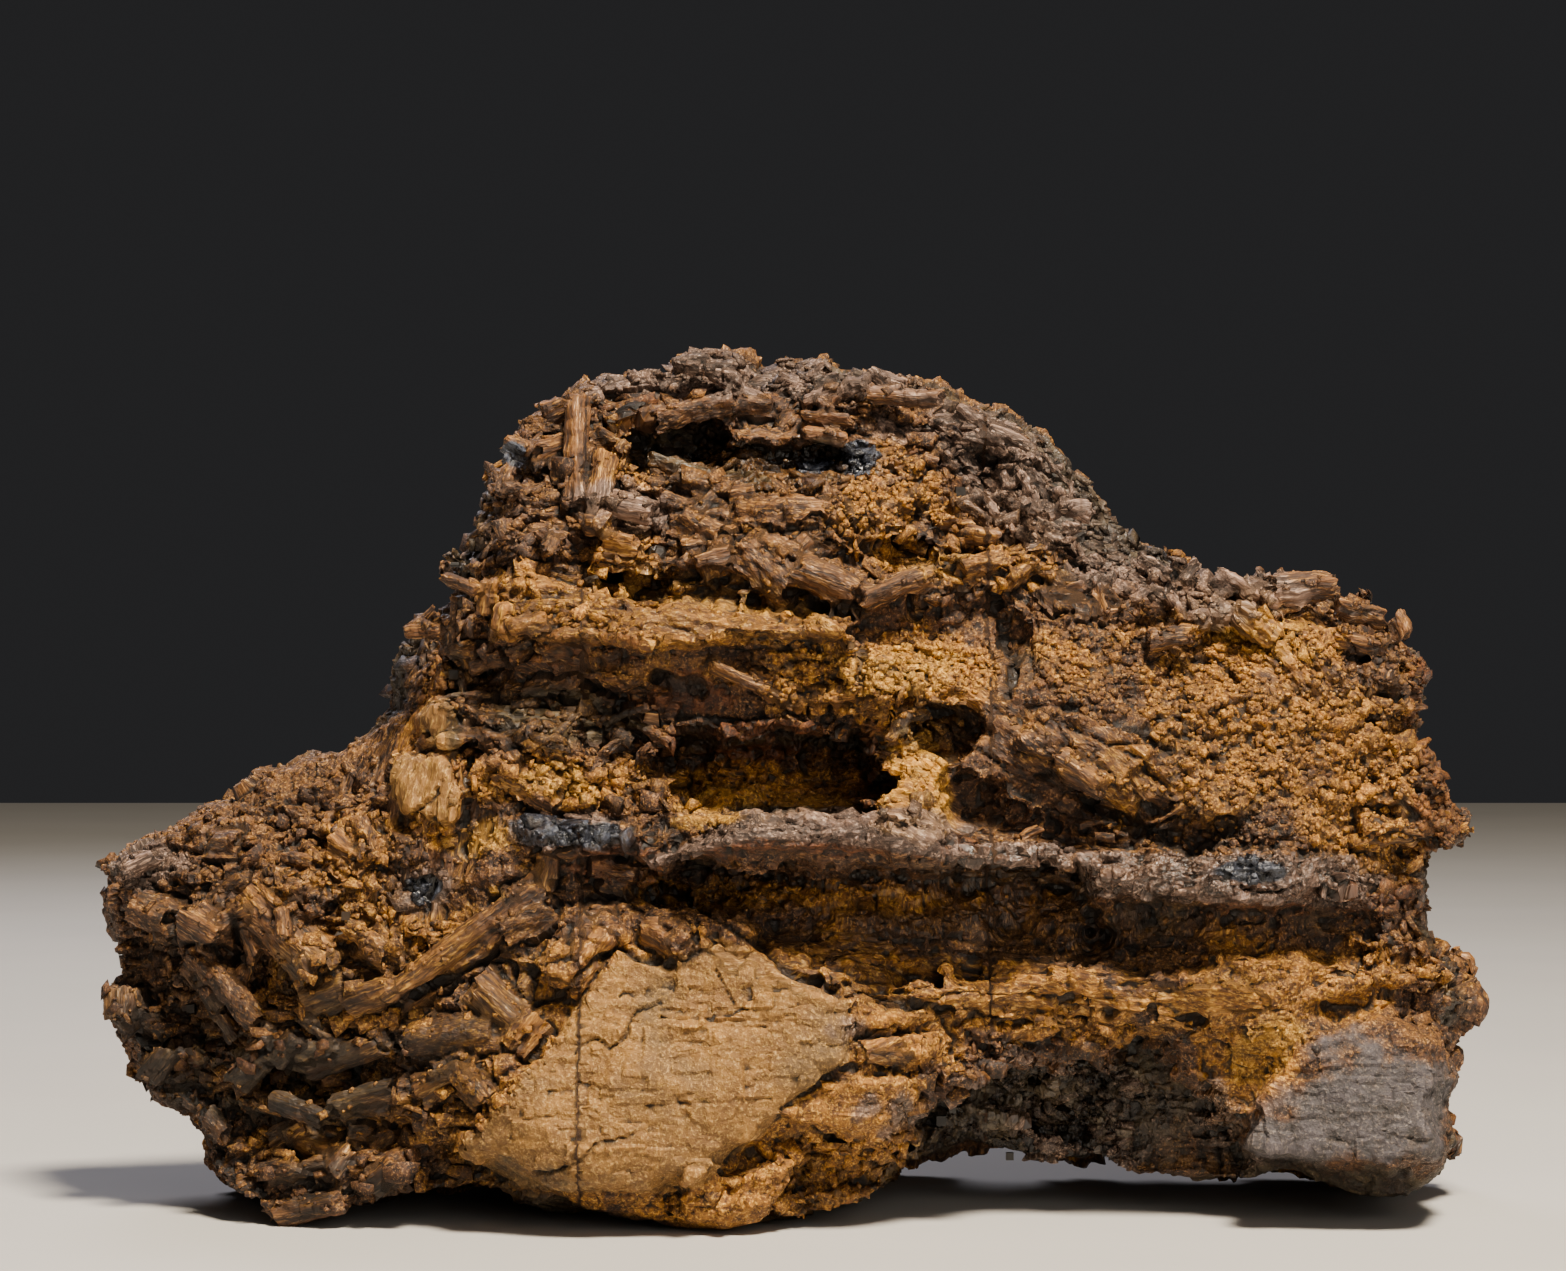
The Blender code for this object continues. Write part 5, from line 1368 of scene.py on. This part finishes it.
def strewn(name, count, weights, sizes, stretch_of, rng, tilt, jitter):
    """A piece of count jittered boxes on the body, more where the weights are high.

    Each is turned so that its third axis follows the body's normal, bent off it by tilt, with its first axis
    near the horizontal. Its half sides are size * stretch_of, with few large ones.
    """
    places, normals = vertices_and_normals(body_mesh)
    chosen = rng.choice(len(places), count, replace=False, p=weights / weights.sum())
    out = normals[chosen] + tilt * rng.standard_normal((count, 3))
    out /= np.linalg.norm(out, axis=1, keepdims=True)
    level = np.cross(np.array([0, 0, 1.0]) + 0.35 * rng.standard_normal((count, 3)), out)
    level /= np.linalg.norm(level, axis=1, keepdims=True)
    turned = np.stack([level, np.cross(out, level), out], axis=1)
    points, faces = box()
    size = sizes[0] + (sizes[1] - sizes[0]) * rng.random(count) ** 3
    corners = points[None] * (1 + jitter * rng.uniform(-1, 1, (count, 8, 3)))
    corners = corners * (size[:, None, None] * np.array(stretch_of) * rng.uniform(0.7, 1.3, (count, 1, 3)))
    middle = places[chosen] * 1000
    world = (corners @ turned + middle[:, None, :]).reshape(-1, 3)
    world[:, 2] = np.maximum(world[:, 2], 0.2)
    triangles = (faces[None] + (np.arange(count) * 8)[:, None, None]).reshape(-1, 3)
    mesh = mesh_from(name, world / 1000, triangles)
    sources = np.repeat(chosen, 8)
    for value in ("ochre", "clay", "rust", "grey", "steel", "slate", "gold", "dark", "dust_and_top_light", "gloss"):
        store(mesh, {value: value_of(value)[sources] * (0.7 if value == "dark" else 1.0)})
    store(mesh, {
        "relief": np.full(len(world), 0.1), "crack": np.zeros(len(world)), "stem": np.zeros(len(world)),
        "even": np.zeros(len(world)), "tone": np.repeat(rng.uniform(-0.7, 0.7, count), 8),
        "grain": world / 1000})
    piece(name, mesh, ore)


def strewn_rubble():
    rng = np.random.default_rng(RUBBLE_SEED)
    places, normals = vertices_and_normals(body_mesh)
    face, deep = from_room(places)
    front = front_share(face, deep)
    fray = fray_at(face)
    rough = 1 - smooth_ledges(face) * front
    clear = (places[:, 2] > 0.004) & (normals[:, 2] > -0.4) & (inset(face, OUTLINE)[0] > 1.5)
    rubble = clear * np.maximum(patches(face, RUBBLE, fray) * front, 0.12 * (1 - front)) * rough
    rubble *= 1 - 0.9 * value_of("stem")
    crumbs = clear * (patches(face, CRUMBS, fray) + 0.05) * front * rough
    strewn("flakes", FLAKES, rubble + 1e-9, (0.45, 2.2), (1.6, 1.0, 0.4), rng, 0.3, 0.45)
    strewn("crumbs", CRUMB_COUNT, crumbs + 1e-9, (0.35, 1.1), (1.2, 0.9, 0.8), rng, 0.5, 0.5)


strewn_rubble()


# The floor, the light and the camera: a pale floor, soft light from high in front, and a level camera at the
# height of the stone's shoulder.
FLOOR_SIZE = 6.0
FLOOR_COLOURS = "#b9b6b1", "#c4c1bc"
FLOOR_CLOUDS = 7.0
KEY_WATTS = 114
FILL_WATTS = 9
RIM_WATTS = 12
WORLD_STRENGTH = 0.045
SENSOR = 36
LENS = 99.1
AIM = (0, 0, 0.11)


def studio_floor():
    """A wide plane with a faint unevenness of tone, as a painted board has."""
    half = FLOOR_SIZE / 2
    corners = np.array([(-half, -half, 0), (half, -half, 0), (half, half, 0), (-half, half, 0)])
    mesh = mesh_from("floor", corners, np.array([(0, 1, 2, 3)]))
    material = bpy.data.materials.new("painted board")
    material.use_nodes = True
    tree = material.node_tree
    place = add(tree, "ShaderNodeTexCoord").outputs["Object"]
    cloud = add(tree, "ShaderNodeTexNoise", {"Vector": place, "Scale": FLOOR_CLOUDS, "Detail": 3.0}).outputs["Fac"]
    shader = tree.nodes["Principled BSDF"]
    tree.links.new(mixed(tree, cloud, *map(linear, FLOOR_COLOURS)), shader.inputs["Base Color"])
    shader.inputs["Roughness"].default_value = 0.8
    mesh.materials.append(material)
    floor = bpy.data.objects.new("floor", mesh)
    bpy.context.scene.collection.objects.link(floor)


def soft_light(name, place, watts, size, colour):
    """A square softbox aimed at the stone's middle."""
    lamp = bpy.data.lights.new(name, "AREA")
    lamp.size = size
    lamp.energy = watts
    lamp.color = linear(colour)[:3]
    light = bpy.data.objects.new(name, lamp)
    light.location = place
    light.rotation_euler = (Vector(AIM) - Vector(place)).to_track_quat("-Z", "Y").to_euler()
    bpy.context.scene.collection.objects.link(light)


studio_floor()
soft_light("key", (0.4, -0.95, 1.7), KEY_WATTS, 0.4, "#fff1dc")
soft_light("fill", (0.7, -1.7, 0.6), FILL_WATTS, 1.2, "#f6efe6")
soft_light("rim", (-0.5, 1.2, 1.2), RIM_WATTS, 0.8, "#f4f2ff")

world = bpy.data.worlds.new("studio")
world.use_nodes = True
world.node_tree.nodes["Background"].inputs["Color"].default_value = linear("#b4b4b8")
world.node_tree.nodes["Background"].inputs["Strength"].default_value = WORLD_STRENGTH
bpy.context.scene.world = world

camera = bpy.data.cameras.new("camera")
camera.sensor_width = SENSOR
camera.lens = LENS
camera_object = bpy.data.objects.new("camera", camera)
camera_object.location = (-MIDDLE_ACROSS / 1000, -(EYE_AHEAD + MIDDLE_DEEP) / 1000, EYE_UP / 1000)
camera_object.rotation_euler = (math.pi / 2, 0, 0)
bpy.context.scene.collection.objects.link(camera_object)
bpy.context.scene.camera = camera_object
